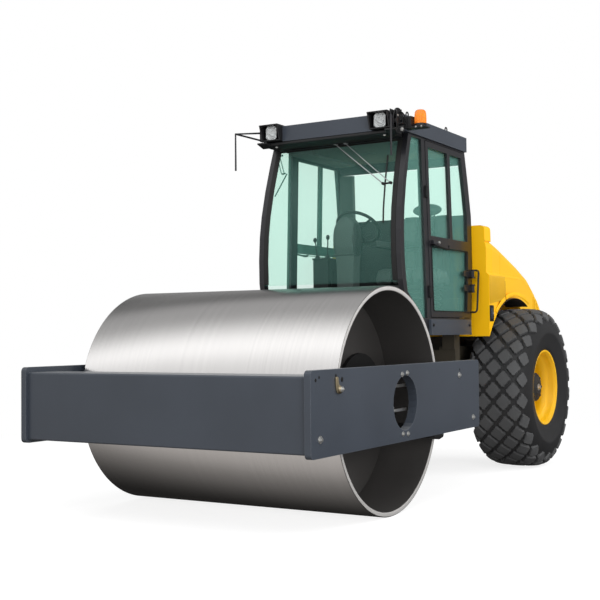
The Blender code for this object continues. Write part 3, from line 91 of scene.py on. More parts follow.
DRUM_STEEL = Finish("drum_steel", "drum_steel", (0.80, 0.785, 0.775), 0.25, Grain.BRUSHED, metallic=1.0, variation=0.03,
                    bump=0.02)
DRUM_INSIDE = Finish("drum_inside", "black_paint", (0.056, 0.053, 0.051), 0.50, Grain.CAST)
# Frame paint: paler edges and greyer tops, partly wear and dirt, partly painted highlight.
FRAME_PAINT = Finish("frame_paint", "frame_paint", (0.045, 0.054, 0.070), 0.42, Grain.PAINT, coat=0.12, edge=0.45,
                     dust_and_sheen=0.30)
DUSTY_PAINT = Finish("dusty_paint", "frame_paint", (0.055, 0.047, 0.034), 0.65, Grain.PAINT, edge=0.2, variation=0.25)
DRUM_LIP = Finish("drum_lip", "drum_steel", (0.56, 0.545, 0.53), 0.45, Grain.CAST, metallic=0.25, variation=0.12)
# Near-black for the drum carriers: painted shade inside the drum.
SHADE_BLACK = Finish("deep_black", "black_paint", (0.006, 0.006, 0.006), 0.60, Grain.CAST)
CAB_PAINT = Finish("cab_paint", "cab_paint", (0.012, 0.012, 0.015), 0.38, Grain.PAINT, coat=0.2, edge=0.25)
BLACK_PAINT = Finish("black_paint", "black_paint", (0.012, 0.012, 0.013), 0.50, Grain.PAINT, edge=0.2)
BODY_PAINT = Finish("body_paint", "body_paint", (1.00, 0.535, 0.006), 0.45, Grain.PAINT, coat=0.0, variation=0.02,
                    bump=0.05, gleam=0.28)
RIM_PAINT = Finish("rim_paint", "rim_paint", (0.92, 0.50, 0.006), 0.40, Grain.PAINT, coat=0.15, variation=0.05)
PIN_STEEL = Finish("pin_steel", "pin_steel", (0.62, 0.61, 0.59), 0.28, Grain.CAST, metallic=1.0)
WIPER_STEEL = Finish("wiper_steel", "pin_steel", (0.50, 0.51, 0.52), 0.35, Grain.CAST, metallic=0.7, bump=0.04)
# Darker copy of the body paint for the ribbed side panels: painted shade.
SHADED_PANEL_PAINT = Finish("panel_paint", "body_paint", (0.74, 0.42, 0.012), 0.50, Grain.PAINT, variation=0.12, bump=0.15)
BRASS = Finish("brass", "pin_steel", (0.80, 0.66, 0.42), 0.32, Grain.CAST, metallic=1.0, bump=0.05)
ZINC = Finish("zinc", "pin_steel", (0.72, 0.72, 0.70), 0.35, Grain.CAST, metallic=0.9, bump=0.05)
CAST_IRON = Finish("cast_iron", "engine_iron", (0.030, 0.029, 0.028), 0.65, Grain.CAST)
TYRE_RUBBER = Finish("tyre_rubber", "tyre_rubber", (0.078, 0.079, 0.081), 0.62, Grain.RUBBER, variation=0.15, edge=0.06)
SIDE_RUBBER = Finish("side_rubber", "tyre_rubber", (0.020, 0.020, 0.021), 0.55, Grain.RUBBER, variation=0.2)
SEAL_RUBBER = Finish("seal_rubber", "black_plastic", (0.010, 0.010, 0.010), 0.62, Grain.MOULDED)
CAB_GLASS = Finish("cab_glass", "cab_glass", (0.40, 0.86, 0.76), 0.04, Grain.GLASS)
LAMP_LENS = Finish("lamp_lens", "lamp_lens", (0.92, 0.94, 0.95), 0.05, Grain.GLASS, tint=(0.98, 0.99, 0.99), veil=0.16)
REFLECTOR = Finish("reflector", "lamp_lens", (0.90, 0.90, 0.90), 0.10, Grain.CAST, metallic=1.0, bump=0.0)
AMBER_LENS = Finish("amber_lens", "amber_lens", (1.00, 0.30, 0.01), 0.08, Grain.LENS, alpha=0.92, transmission=0.25, glow=0.06, coat=0.6)
BLACK_PLASTIC = Finish("black_plastic", "black_plastic", (0.014, 0.014, 0.015), 0.48, Grain.MOULDED)
CONSOLE_PLASTIC = Finish("console_plastic", "console_plastic", (0.060, 0.068, 0.068), 0.55, Grain.MOULDED)
SEAT_VINYL = Finish("seat_vinyl", "seat_vinyl", (0.050, 0.056, 0.057), 0.50, Grain.VINYL)
HEADLINER = Finish("headliner", "console_plastic", (0.115, 0.135, 0.130), 0.80, Grain.VINYL)


class Wiring:
    """Adds nodes to one node tree and links them."""

    def __init__(self, tree: bpy.types.NodeTree) -> None:
        """Keep the tree that the nodes go into.

        Args:
            tree: The shader or geometry tree.
        """
        self.tree = tree

    def node(self, kind: str, inputs: Optional[dict] = None, **settings: object) -> bpy.types.Node:
        """Add one node.

        Args:
            kind: The node's type name.
            inputs: Values or sockets to feed, by input name or index.
            settings: Properties to set on the node.

        Returns:
            The new node.
        """
        made = self.tree.nodes.new(kind)
        for key, value in settings.items():
            setattr(made, key, value)
        for key, value in (inputs or {}).items():
            if isinstance(value, bpy.types.NodeSocket):
                self.tree.links.new(value, made.inputs[key])
            else:
                made.inputs[key].default_value = value
        return made

    def math(self, operation: str, a: object, b: object = 0.0) -> bpy.types.NodeSocket:
        """Return the result of one arithmetic step on two values or sockets."""
        kind = "ShaderNodeMath"
        return self.node(kind, {0: a, 1: b}, operation=operation).outputs[0]

    def ramp(self, factor: object, stops: Sequence[tuple[float, Point]]) -> bpy.types.NodeSocket:
        """Return a colour that follows a factor through the given stops."""
        made = self.node("ShaderNodeValToRGB", {0: factor})
        elements = made.color_ramp.elements
        while len(elements) < len(stops):
            elements.new(0.5)
        for element, (place, colour) in zip(elements, stops):
            element.position = place
            element.color = (*colour, 1.0)
        return made.outputs[0]


class PaintShop:
    """Makes each finish's material once and hands it out."""

    def __init__(self) -> None:
        """Start with no material made."""
        self.made: dict[str, bpy.types.Material] = {}

    def material(self, finish: Finish) -> bpy.types.Material:
        """Return the material of a finish.

        Args:
            finish: The finish to look up or make.

        Returns:
            The one material that all pieces of this finish share.
        """
        if finish.name not in self.made:
            self.made[finish.name] = self._mix(finish)
        return self.made[finish.name]

    def _mix(self, finish: Finish) -> bpy.types.Material:
        """Build the node tree of one finish and return its material."""
        made = bpy.data.materials.new(finish.name)
        made.use_nodes = True
        made.diffuse_color = (*finish.colour, 1.0)
        wiring = Wiring(made.node_tree)
        shader = made.node_tree.nodes["Principled BSDF"]
        shader.inputs["Base Color"].default_value = (*finish.colour, 1.0)
        shader.inputs["Metallic"].default_value = finish.metallic
        shader.inputs["Roughness"].default_value = finish.roughness
        shader.inputs["Coat Weight"].default_value = finish.coat
        shader.inputs["Coat Roughness"].default_value = 0.12
        shader.inputs["Transmission Weight"].default_value = finish.transmission
        shader.inputs["Alpha"].default_value = finish.alpha
        shader.inputs["Emission Color"].default_value = (*finish.colour, 1.0)
        shader.inputs["Emission Strength"].default_value = finish.glow
        shader.inputs["Specular IOR Level"].default_value = finish.gleam
        if finish.grain is Grain.GLASS:
            self._pane(wiring, shader, finish)
            return made
        if finish.grain is Grain.LENS:
            shader.inputs["IOR"].default_value = 1.45
            self._lens(wiring, shader)
            return made
        where = wiring.node("ShaderNodeTexCoord").outputs["Object"]
        self._tone(wiring, shader, finish, where)
        self._relief(wiring, shader, finish, where)
        return made

    def _pane(self, wiring: Wiring, shader: bpy.types.Node, finish: Finish) -> None:
        """Let a pane show what is behind it in its own tint, under a faint veil and gloss."""
        clear = wiring.node("ShaderNodeBsdfTransparent", {"Color": (*finish.tint, 1.0)})
        where = wiring.node("ShaderNodeTexCoord").outputs["Object"]
        dust_and_sheen = wiring.node("ShaderNodeTexNoise", {"Vector": where, "Scale": 3.0, "Detail": 4.0})
        veil = wiring.node("ShaderNodeMapRange", {"Value": dust_and_sheen.outputs[0], "To Min": finish.veil * 0.8,
                                                  "To Max": finish.veil * 1.2})
        gloss = wiring.math("MULTIPLY", wiring.node("ShaderNodeFresnel", {"IOR": 1.30}).outputs[0], 0.15)
        share = wiring.math("ADD", veil.outputs[0], gloss)
        mix = wiring.node("ShaderNodeMixShader", {0: share, 1: clear.outputs[0], 2: shader.outputs[0]})
        wiring.tree.links.new(mix.outputs[0], wiring.tree.nodes["Material Output"].inputs["Surface"])

    def _lens(self, wiring: Wiring, shader: bpy.types.Node) -> None:
        """Give a lens the fine moulded ribs that spread its light."""
        where = wiring.node("ShaderNodeTexCoord").outputs["Object"]
        wave = wiring.node("ShaderNodeTexWave", {"Vector": where, "Scale": 28.0}, bands_direction="X")
        bump = wiring.node("ShaderNodeBump", {"Height": wave.outputs[1], "Strength": 0.25, "Distance": 0.002})
        wiring.tree.links.new(bump.outputs[0], shader.inputs["Normal"])

    def _tone(self, wiring: Wiring, shader: bpy.types.Node, finish: Finish, where: bpy.types.NodeSocket) -> None:
        """Vary the colour and gloss, pale the edges with wear and painted highlight, and grey the tops with dirt and
        painted sky highlight.
        """
        scale = {Grain.BRUSHED: (90.0, 0.35, 0.35)}.get(finish.grain, (1.6, 1.6, 1.6))
        placed = wiring.node("ShaderNodeMapping", {"Vector": where, "Scale": scale})
        cloud = wiring.node("ShaderNodeTexNoise", {"Vector": placed.outputs[0], "Scale": 1.0, "Detail": 5.0})
        low = tuple(c * (1.0 - finish.variation) for c in finish.colour)
        high = tuple(min(1.0, c * (1.0 + finish.variation)) for c in finish.colour)
        colour = wiring.ramp(cloud.outputs[0], ((0.30, low), (0.70, high)))
        # Sharp edges turn paler: partly paint wear, partly a painted highlight along the edges.
        if finish.edge:
            round_edge = wiring.node("ShaderNodeBevel", {"Radius": 0.007}, samples=4)
            flat = wiring.node("ShaderNodeNewGeometry")
            facing = wiring.node("ShaderNodeVectorMath", {0: round_edge.outputs[0], 1: flat.outputs["Normal"]},
                                 operation="DOT_PRODUCT").outputs["Value"]
            wear_and_highlight = wiring.math("MULTIPLY", wiring.math("SUBTRACT", 1.0, facing), 6.0 * finish.edge)
            wear_and_highlight = wiring.math("MINIMUM", wear_and_highlight, 0.65 * finish.edge)
            pale = tuple(min(1.0, 0.10 + c * 2.2) for c in finish.colour)
            mix = wiring.node("ShaderNodeMix", {0: wear_and_highlight, 6: colour, 7: (*pale, 1.0)}, data_type="RGBA")
            colour = mix.outputs[2]
        # Upward faces turn grey: partly settled dirt, partly a painted highlight of the sky on the tops.
        if finish.dust_and_sheen:
            facing = wiring.node("ShaderNodeSeparateXYZ", {0: wiring.node("ShaderNodeNewGeometry").outputs["Normal"]}).outputs[2]
            upward = wiring.node("ShaderNodeMapRange", {"Value": facing, "From Min": 0.80, "From Max": 0.98, "To Max": finish.dust_and_sheen})
            colour = wiring.node("ShaderNodeMix", {0: upward.outputs[0], 6: colour, 7: (0.42, 0.43, 0.44, 1.0)},
                                 data_type="RGBA").outputs[2]
        wiring.tree.links.new(colour, shader.inputs["Base Color"])
        gloss = wiring.node("ShaderNodeMapRange", {"Value": cloud.outputs[0], "To Min": finish.roughness * 0.88,
                                                   "To Max": min(1.0, finish.roughness * 1.12)})
        wiring.tree.links.new(gloss.outputs[0], shader.inputs["Roughness"])

    def _relief(self, wiring: Wiring, shader: bpy.types.Node, finish: Finish, where: bpy.types.NodeSocket) -> None:
        """Raise the finish's own grain and round the sharp edges."""
        size, depth = {
            Grain.PAINT: ((220.0, 220.0, 220.0), 0.0004),
            Grain.BRUSHED: ((900.0, 3.0, 3.0), 0.0006),
            Grain.CAST: ((160.0, 160.0, 160.0), 0.0010),
            Grain.RUBBER: ((260.0, 260.0, 260.0), 0.0012),
            Grain.MOULDED: ((420.0, 420.0, 420.0), 0.0006),
            Grain.VINYL: ((300.0, 300.0, 300.0), 0.0012),
        }[finish.grain]
        placed = wiring.node("ShaderNodeMapping", {"Vector": where, "Scale": size})
        fine = wiring.node("ShaderNodeTexNoise", {"Vector": placed.outputs[0], "Scale": 1.0, "Detail": 3.0})
        edge = wiring.node("ShaderNodeBevel", {"Radius": 0.004}, samples=4)
        bump = wiring.node("ShaderNodeBump", {"Height": fine.outputs[0], "Strength": finish.bump * 2.0,
                                              "Distance": depth, "Normal": edge.outputs[0]})
        wiring.tree.links.new(bump.outputs[0], shader.inputs["Normal"])


SHOP = PaintShop()


class Sketch:
    """A mesh in the making, in the frame's metres, with a finish for each face."""

    def __init__(self, *finishes: Finish) -> None:
        """Start an empty mesh.

        Args:
            finishes: The finishes its faces choose from, the first being the one in use.
        """
        self.bm = bmesh.new()
        self.finishes = finishes
        self.using = 0
        self.turn = Matrix.Identity(4)

    def use(self, index: int) -> "Sketch":
        """Give the faces that follow the finish at this index, and return the sketch."""
        self.using = index
        return self

    def face(self, verts: Sequence[bmesh.types.BMVert]) -> None:
        """Add one face between existing points."""
        made = self.bm.faces.new(verts)
        made.material_index = self.using
        made.smooth = True

    def ring(self, points: Iterable[Point]) -> list[bmesh.types.BMVert]:
        """Add a loop of points and return it."""
        return [self.bm.verts.new(self.turn @ Vector(p)) for p in points]

    def loft(self, rings: Sequence[Sequence[Point]], closed: bool = True, caps: bool = True) -> "Sketch":
        """Skin a row of point loops.

        Args:
            rings: Loops with equal numbers of points.
            closed: Whether each loop joins its last point to its first.
            caps: Whether the first and last loops are filled.

        Returns:
            The sketch.
        """
        loops = [self.ring(r) for r in rings]
        count = len(loops[0])
        for near, far in zip(loops, loops[1:]):
            for i in range(count if closed else count - 1):
                j = (i + 1) % count
                self.face((near[i], near[j], far[j], far[i]))
        if caps:
            self.face(list(reversed(loops[0])))
            self.face(loops[-1])
        return self

    def box(self, x: Point, y: Point, z: Point) -> "Sketch":
        """Add a block between three pairs of limits."""
        (x0, x1), (y0, y1), (z0, z1) = sorted(x), sorted(y), sorted(z)
        low = [(x0, y0, z0), (x1, y0, z0), (x1, y1, z0), (x0, y1, z0)]
        return self.loft([low, [(px, py, z1) for px, py, _ in low]])

    def prism(self, outline: Sequence[Point], low: float, high: float, axis: str = "X") -> "Sketch":
        """Add an outline drawn across one axis and stretched along it.

        Args:
            outline: Pairs of the two other coordinates in XYZ order.
            low: Where it starts along the axis.
            high: Where it ends.
            axis: X, Y or Z.

        Returns:
            The sketch.
        """
        def place(pair: Point, along: float) -> Point:
            a, b = pair
            return {"X": (along, a, b), "Y": (a, along, b), "Z": (a, b, along)}[axis]

        return self.loft([[place(p, low) for p in outline], [place(p, high) for p in outline]])

    def turned(self, profile: Sequence[Point], steps: int, centre: Point, axis: str = "X") -> "Sketch":
        """Add a closed profile of (radius, along) pairs turned round an axis."""
        centre = Vector(centre)
        spokes = []
        for k in range(steps):
            angle = 2 * pi * k / steps
            c, s = cos(angle), sin(angle)
            spokes.append([centre + {"X": Vector((a, r * c, r * s)), "Y": Vector((r * s, a, r * c)),
                                     "Z": Vector((r * c, r * s, a))}[axis] for r, a in profile])
        loops = [self.ring(s) for s in spokes]
        count = len(profile)
        for k in range(steps):
            near, far = loops[k], loops[(k + 1) % steps]
            for i in range(count):
                j = (i + 1) % count
                on_axis = (profile[i][0] < 1e-9) + (profile[j][0] < 1e-9)
                if on_axis < 2:
                    self.face((near[i], near[j], far[j], far[i]))
        return self

    def rod(self, start: Point, end: Point, radius: float, steps: int = 16, end_radius: Optional[float] = None) -> "Sketch":
        """Add a round bar between two points, tapered if an end radius is given."""
        start, end = Vector(start), Vector(end)
        turn = (end - start).to_track_quat("Z", "Y")
        rings = []
        for spot, r in ((start, radius), (end, radius if end_radius is None else end_radius)):
            rings.append([spot + turn @ Vector((r * cos(2 * pi * k / steps), r * sin(2 * pi * k / steps), 0))
                          for k in range(steps)])
        return self.loft(rings)

    def tube(self, path: Sequence[Point], radius: float, steps: int = 10, bend: float = 0.0) -> "Sketch":
        """Add a round bar along a path.

        Args:
            path: The corner points.
            radius: Half the bar's thickness.
            steps: Sides of its section.
            bend: Radius of the bends at the corners, or 0 for sharp ones.

        Returns:
            The sketch.
        """
        points = rounded_path([Vector(p) for p in path], bend)
        rings = []
        normal = None
        for i, spot in enumerate(points):
            ahead = (points[min(i + 1, len(points) - 1)] - points[max(i - 1, 0)]).normalized()
            if normal is None:
                normal = ahead.orthogonal().normalized()
            normal = (normal - ahead * normal.dot(ahead)).normalized()
            side = ahead.cross(normal)
            rings.append([spot + normal * radius * cos(2 * pi * k / steps) + side * radius * sin(2 * pi * k / steps)
                          for k in range(steps)])
        return self.loft(rings)

    def ball(self, centre: Point, radii: Point, steps: int = 16) -> "Sketch":
        """Add a rounded lump with its own half sizes along X, Y and Z."""
        rings = []
        for i in range(1, steps // 2):
            up = pi * i / (steps // 2)
            rings.append([(centre[0] + radii[0] * sin(up) * cos(2 * pi * k / steps),
                           centre[1] + radii[1] * sin(up) * sin(2 * pi * k / steps),
                           centre[2] - radii[2] * cos(up)) for k in range(steps)])
        return self.loft(rings)

    def done(self, name: str, body: str, bevel: float = 0.0, angle: float = 35.0, segments: int = 2,
             subdivide: int = 0) -> bpy.types.Object:
        """Turn the sketch into a finished piece that rides on a body.

        Args:
            name: The piece's name.
            body: The CAD body that carries it.
            bevel: Width of the rounding on its sharp edges.
            angle: Edges sharper than this stay sharp in the shading.
            segments: Steps of the rounding.
            subdivide: Levels of subdivision surface.

        Returns:
            The new object.
        """
        bmesh.ops.remove_doubles(self.bm, verts=self.bm.verts, dist=1e-6)
        bmesh.ops.dissolve_degenerate(self.bm, dist=1e-7, edges=self.bm.edges)
        bmesh.ops.recalc_face_normals(self.bm, faces=self.bm.faces)
        mesh = bpy.data.meshes.new(name)
        self.bm.to_mesh(mesh)
        self.bm.free()
        piece = bpy.data.objects.new(name, mesh)
        bpy.context.scene.collection.objects.link(piece)
        if bevel:
            modifier = piece.modifiers.new("bevel", "BEVEL")
            modifier.width, modifier.segments, modifier.limit_method = bevel, segments, "ANGLE"
            modifier.angle_limit = radians(30)
            modifier.harden_normals = False
        if subdivide:
            modifier = piece.modifiers.new("round", "SUBSURF")
            modifier.levels = modifier.render_levels = subdivide
        settle(piece)
        for finish in self.finishes:
            piece.data.materials.append(SHOP.material(finish))
        return mounted(piece, body, angle)


def rounded_path(points: Sequence[Vector], bend: float, steps: int = 6) -> list[Vector]:
    """Return a path with its inner corners turned into bends.

    Args:
        points: The corners.
        bend: Distance from a corner at which its bend starts.
        steps: Points in each bend.

    Returns:
        The finer path.
    """
    if bend <= 0 or len(points) < 3:
        return list(points)
    path = [points[0]]
    for before, corner, after in zip(points, points[1:], points[2:]):
        a = corner + (before - corner).normalized() * min(bend, (before - corner).length * 0.49)
        b = corner + (after - corner).normalized() * min(bend, (after - corner).length * 0.49)
        for k in range(steps + 1):
            t = k / steps
            path.append(a * (1 - t) ** 2 + corner * 2 * t * (1 - t) + b * t * t)
    path.append(points[-1])
    return path


def arc(centre: Point, radius: float, start: float, end: float, count: int) -> list[tuple[float, float]]:
    """Return points on a circle's arc, its angles in degrees."""
    return [(centre[0] + radius * cos(radians(start + (end - start) * k / count)),
             centre[1] + radius * sin(radians(start + (end - start) * k / count))) for k in range(count + 1)]


def rounded(outline: Sequence[Point], radius: float, steps: int = 4) -> list[tuple[float, float]]:
    """Return a closed outline with every corner rounded."""
    points = []
    count = len(outline)
    for i, corner in enumerate(outline):
        here, before, after = Vector(corner), Vector(outline[i - 1]), Vector(outline[(i + 1) % count])
        a = here + (before - here).normalized() * min(radius, (before - here).length * 0.49)
        b = here + (after - here).normalized() * min(radius, (after - here).length * 0.49)
        for k in range(steps + 1):
            t = k / steps
            points.append(tuple(a * (1 - t) ** 2 + here * 2 * t * (1 - t) + b * t * t))
    return points


def settle(piece: bpy.types.Object) -> None:
    """Apply an object's modifiers, so that only its plain mesh is left."""
    if not piece.modifiers:
        return
    bpy.context.view_layer.update()
    ready = piece.evaluated_get(bpy.context.evaluated_depsgraph_get())
    mesh = bpy.data.meshes.new_from_object(ready)
    piece.modifiers.clear()
    old, piece.data = piece.data, mesh
    mesh.name = piece.name
    bpy.data.meshes.remove(old)


def mounted(piece: bpy.types.Object, body: str, angle: float = 35.0) -> bpy.types.Object:
    """Shade a finished mesh and let it ride on its body.

    Args:
        piece: An object at the origin with its place in its mesh.
        body: The CAD body that carries it.
        angle: Edges sharper than this stay sharp.

    Returns:
        The same object.
    """
    piece.data.shade_smooth()
    piece.data.set_sharp_from_angle(angle=radians(angle))
    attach(piece, body)
    LOG.info("piece %s on %s: %d faces", piece.name, body, len(piece.data.polygons))
    return piece


def dress(nodes: Iterable[str], finish: Finish) -> None:
    """Give CAD nodes a finish.

    Args:
        nodes: The nodes' names.
        finish: The finish that they get.
    """
    for name in nodes:
        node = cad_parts[name]
        for slot in node.material_slots:
            slot.material = SHOP.material(finish)
        LOG.info("node %s: %s", name, finish.name)


# How far the cloth may move a cushion's skin
SWELL_REACH = 0.012


def swell(piece: bpy.types.Object, pressure: float) -> None:
    """Blow a closed pad up like a stuffed cushion and keep the shape it settles in.

    Args:
        piece: The pad's object.
        pressure: The cloth's inner pressure.
    """
    remesh = piece.modifiers.new("even", "REMESH")
    remesh.mode, remesh.voxel_size = "VOXEL", 0.0055
    depsgraph = bpy.context.evaluated_depsgraph_get()
    material = list(piece.data.materials)
    even = bpy.data.meshes.new_from_object(piece.evaluated_get(depsgraph))
    piece.modifiers.clear()
    piece.data = even
    before = [vert.co.copy() for vert in even.vertices]
    cloth = piece.modifiers.new("cloth", "CLOTH")
    cloth.settings.quality = 4
    cloth.settings.mass = 0.3
    cloth.settings.tension_stiffness = cloth.settings.compression_stiffness = 15.0
    cloth.settings.use_pressure = True
    cloth.settings.uniform_pressure_force = pressure
    cloth.settings.effector_weights.gravity = 0.0
    cloth.collision_settings.use_collision = False
    cloth.point_cache.frame_start, cloth.point_cache.frame_end = 1, 20
    for step in range(1, 21):
        bpy.context.scene.frame_set(step)
    blown = bpy.data.meshes.new_from_object(piece.evaluated_get(bpy.context.evaluated_depsgraph_get()))
    piece.modifiers.clear()
    for vert, old in zip(blown.vertices, before):
        shift = vert.co - old
        if shift.length > SWELL_REACH:
            vert.co = old + shift.normalized() * SWELL_REACH
    piece.data = blown
    blown.materials.clear()
    for made in material:
        blown.materials.append(made)
    bpy.context.scene.frame_set(1)


def cut(piece: bpy.types.Object, *tools: bpy.types.Object) -> None:
    """Cut other objects out of a piece and remove them."""
    for tool in tools:
        modifier = piece.modifiers.new("cut", "BOOLEAN")
        modifier.operation, modifier.solver, modifier.object = "DIFFERENCE", "EXACT", tool
        settle(piece)
        bpy.data.objects.remove(tool)


class Repeats:
    """Geometry Nodes trees for what repeats on the machine."""

    def __init__(self) -> None:
        """Build no tree until it is asked for."""
        self.trees: dict[str, bpy.types.NodeTree] = {}

    @staticmethod
    def _start(name: str, inputs: Sequence[tuple[str, str, object]]) -> tuple[Wiring, dict]:
        """Open a tree with a geometry input, named inputs and one geometry output.

        Args:
            name: The tree's name.
            inputs: Name, socket type and default of each further input.

        Returns:
            The wiring and the group input's sockets by name.
        """
        tree = bpy.data.node_groups.new(name, "GeometryNodeTree")
        face = tree.interface
        face.new_socket(name="Geometry", in_out="INPUT", socket_type="NodeSocketGeometry")
        for label, kind, default in inputs:
            socket = face.new_socket(name=label, in_out="INPUT", socket_type=kind)
            if default is not None:
                socket.default_value = default
        face.new_socket(name="Geometry", in_out="OUTPUT", socket_type="NodeSocketGeometry")
        wiring = Wiring(tree)
        entry = wiring.node("NodeGroupInput")
        return wiring, {socket.name: socket for socket in entry.outputs if socket.name}

    @staticmethod
    def _end(wiring: Wiring, geometry: bpy.types.NodeSocket, material: bpy.types.NodeSocket) -> None:
        """Close a tree with Realize Instances and Set Material."""
        real = wiring.node("GeometryNodeRealizeInstances", {0: geometry})
        painted = wiring.node("GeometryNodeSetMaterial", {"Geometry": real.outputs[0], "Material": material})
        wiring.node("NodeGroupOutput", {0: painted.outputs[0]})

    def screws(self) -> bpy.types.NodeTree:
        """Return the tree that sets a hexagon head on a washer at each point, along its facing."""
        if "screws" not in self.trees:
            wiring, given = self._start("screws", [
                ("Head radius", "NodeSocketFloat", 0.010), ("Head height", "NodeSocketFloat", 0.008),
                ("Washer radius", "NodeSocketFloat", 0.015), ("Material", "NodeSocketMaterial", None)])
            washer_high = 0.003
            washer = wiring.node("GeometryNodeMeshCylinder", {"Vertices": 20, "Radius": given["Washer radius"],
                                                              "Depth": washer_high})
            head = wiring.node("GeometryNodeMeshCone", {
                "Vertices": 6, "Radius Bottom": given["Head radius"],
                "Radius Top": wiring.math("MULTIPLY", given["Head radius"], 0.86), "Depth": given["Head height"]})
            lift = wiring.node("ShaderNodeCombineXYZ", {"Z": washer_high / 2})
            seat = wiring.node("GeometryNodeTransform", {"Geometry": washer.outputs[0], "Translation": lift.outputs[0]})
            lift = wiring.node("ShaderNodeCombineXYZ", {"Z": washer_high - 0.0002})
            top = wiring.node("GeometryNodeTransform", {"Geometry": head.outputs[0], "Translation": lift.outputs[0]})
            both = wiring.node("GeometryNodeJoinGeometry")
            for part in (seat, top):
                wiring.tree.links.new(part.outputs[0], both.inputs[0])
            facing = wiring.node("GeometryNodeInputNamedAttribute", {"Name": "facing"}, data_type="FLOAT_VECTOR")
            size = wiring.node("GeometryNodeInputNamedAttribute", {"Name": "size"}, data_type="FLOAT")
            turn = wiring.node("FunctionNodeAlignRotationToVector", {"Vector": facing.outputs[0]}, axis="Z")
            copies = wiring.node("GeometryNodeInstanceOnPoints", {
                "Points": given["Geometry"], "Instance": both.outputs[0], "Rotation": turn.outputs[0],
                "Scale": size.outputs[0]})
            self._end(wiring, copies.outputs[0], given["Material"])
            self.trees["screws"] = wiring.tree
        return self.trees["screws"]

    def tread(self) -> bpy.types.NodeTree:
        """Return the tree that lays blocks in staggered rows and wraps them round a tyre's crown."""
        if "tread" not in self.trees:
            wiring, given = self._start("tread", [
                ("Block", "NodeSocketObject", None), ("Around", "NodeSocketInt", 22), ("Rows", "NodeSocketInt", 5),
                ("Row step", "NodeSocketFloat", 0.1), ("Radius", "NodeSocketFloat", 0.745),
                ("Reach", "NodeSocketFloat", 0.38), ("Centre", "NodeSocketVector", (0.0, 0.0, 0.0)),
                ("Material", "NodeSocketMaterial", None)])
            total = wiring.math("MULTIPLY", given["Around"], given["Rows"])
            points = wiring.node("GeometryNodePoints", {"Count": total})
            index = wiring.node("GeometryNodeInputIndex").outputs[0]
            row = wiring.math("FLOOR", wiring.math("DIVIDE", index, given["Around"]))
            column = wiring.math("SUBTRACT", index, wiring.math("MULTIPLY", row, given["Around"]))
            middle = wiring.math("MULTIPLY", wiring.math("SUBTRACT", given["Rows"], 1.0), 0.5)
            stagger = wiring.math("MULTIPLY", wiring.math("MODULO", wiring.math("ADD", row, 1.0), 2.0), 0.5)
            across = wiring.math("MULTIPLY", wiring.math("SUBTRACT", row, middle), given["Row step"])
            grid = wiring.node("ShaderNodeCombineXYZ", {"X": across, "Y": wiring.math("ADD", column, stagger)})
            laid = wiring.node("GeometryNodeSetPosition", {"Geometry": points.outputs[0], "Position": grid.outputs[0]})
            block = wiring.node("GeometryNodeObjectInfo", {"Object": given["Block"]}, transform_space="ORIGINAL")
            copies = wiring.node("GeometryNodeInstanceOnPoints", {"Points": laid.outputs[0],
                                                                  "Instance": block.outputs["Geometry"]})
            real = wiring.node("GeometryNodeRealizeInstances", {0: copies.outputs[0]})
            here = wiring.node("ShaderNodeSeparateXYZ", {0: wiring.node("GeometryNodeInputPosition").outputs[0]})
            share = wiring.math("DIVIDE", wiring.math("ABSOLUTE", here.outputs[0]), given["Reach"])
            side = wiring.math("SIGN", here.outputs[0])
            wide, drop, tilt = (self._curve(wiring, share, k) for k in (1, 2, 3))
            out = wiring.math("MULTIPLY", side, wiring.math("MULTIPLY", wide, CROWN_SCALE))
            low = wiring.math("SUBTRACT", given["Radius"], wiring.math("MULTIPLY", drop, CROWN_SCALE))
            slope = wiring.math("MULTIPLY", tilt, pi / 2)
            rise = wiring.math("MULTIPLY", here.outputs[2], wiring.math("COSINE", slope))
            lean = wiring.math("MULTIPLY", here.outputs[2], wiring.math("SINE", slope))
            out = wiring.math("ADD", out, wiring.math("MULTIPLY", side, lean))
            angle = wiring.math("MULTIPLY", wiring.math("DIVIDE", here.outputs[1], given["Around"]), 2 * pi)
            radius = wiring.math("ADD", low, rise)
            wrapped = wiring.node("ShaderNodeCombineXYZ", {
                "X": out, "Y": wiring.math("MULTIPLY", radius, wiring.math("COSINE", angle)),
                "Z": wiring.math("MULTIPLY", radius, wiring.math("SINE", angle))})
            spot = wiring.node("ShaderNodeVectorMath", {0: wrapped.outputs[0], 1: given["Centre"]}, operation="ADD")
            bent = wiring.node("GeometryNodeSetPosition", {"Geometry": real.outputs[0], "Position": spot.outputs[0]})
            self._end(wiring, bent.outputs[0], given["Material"])
            self.trees["tread"] = wiring.tree
        return self.trees["tread"]

    @staticmethod
    def _curve(wiring: Wiring, share: bpy.types.NodeSocket, column: int) -> bpy.types.NodeSocket:
        """Return one column of the crown table as a function of the share of the reach."""
        made = wiring.node("ShaderNodeFloatCurve", {"Value": share})
        curve = made.mapping.curves[0]
        rows = CROWN
        while len(curve.points) < len(rows):
            curve.points.new(0.5, 0.5)
        for point, line in zip(curve.points, rows):
            point.location = (line[0], line[column] / (1.0 if column == 3 else CROWN_SCALE))
            point.handle_type = "AUTO_CLAMPED"
        made.mapping.update()
        return made.outputs[0]

    def slats(self) -> bpy.types.NodeTree:
        """Return the tree that repeats one slat along a line."""
        if "slats" not in self.trees:
            wiring, given = self._start("slats", [
                ("Slat", "NodeSocketObject", None), ("Count", "NodeSocketInt", 8),
                ("Step", "NodeSocketVector", (0.0, 0.0, 0.03)), ("Material", "NodeSocketMaterial", None)])
            line = wiring.node("GeometryNodeMeshLine", {"Count": given["Count"], "Offset": given["Step"]})
            slat = wiring.node("GeometryNodeObjectInfo", {"Object": given["Slat"]}, transform_space="ORIGINAL")
            copies = wiring.node("GeometryNodeInstanceOnPoints", {"Points": line.outputs[0],
                                                                  "Instance": slat.outputs["Geometry"]})
            self._end(wiring, copies.outputs[0], given["Material"])
            self.trees["slats"] = wiring.tree
        return self.trees["slats"]

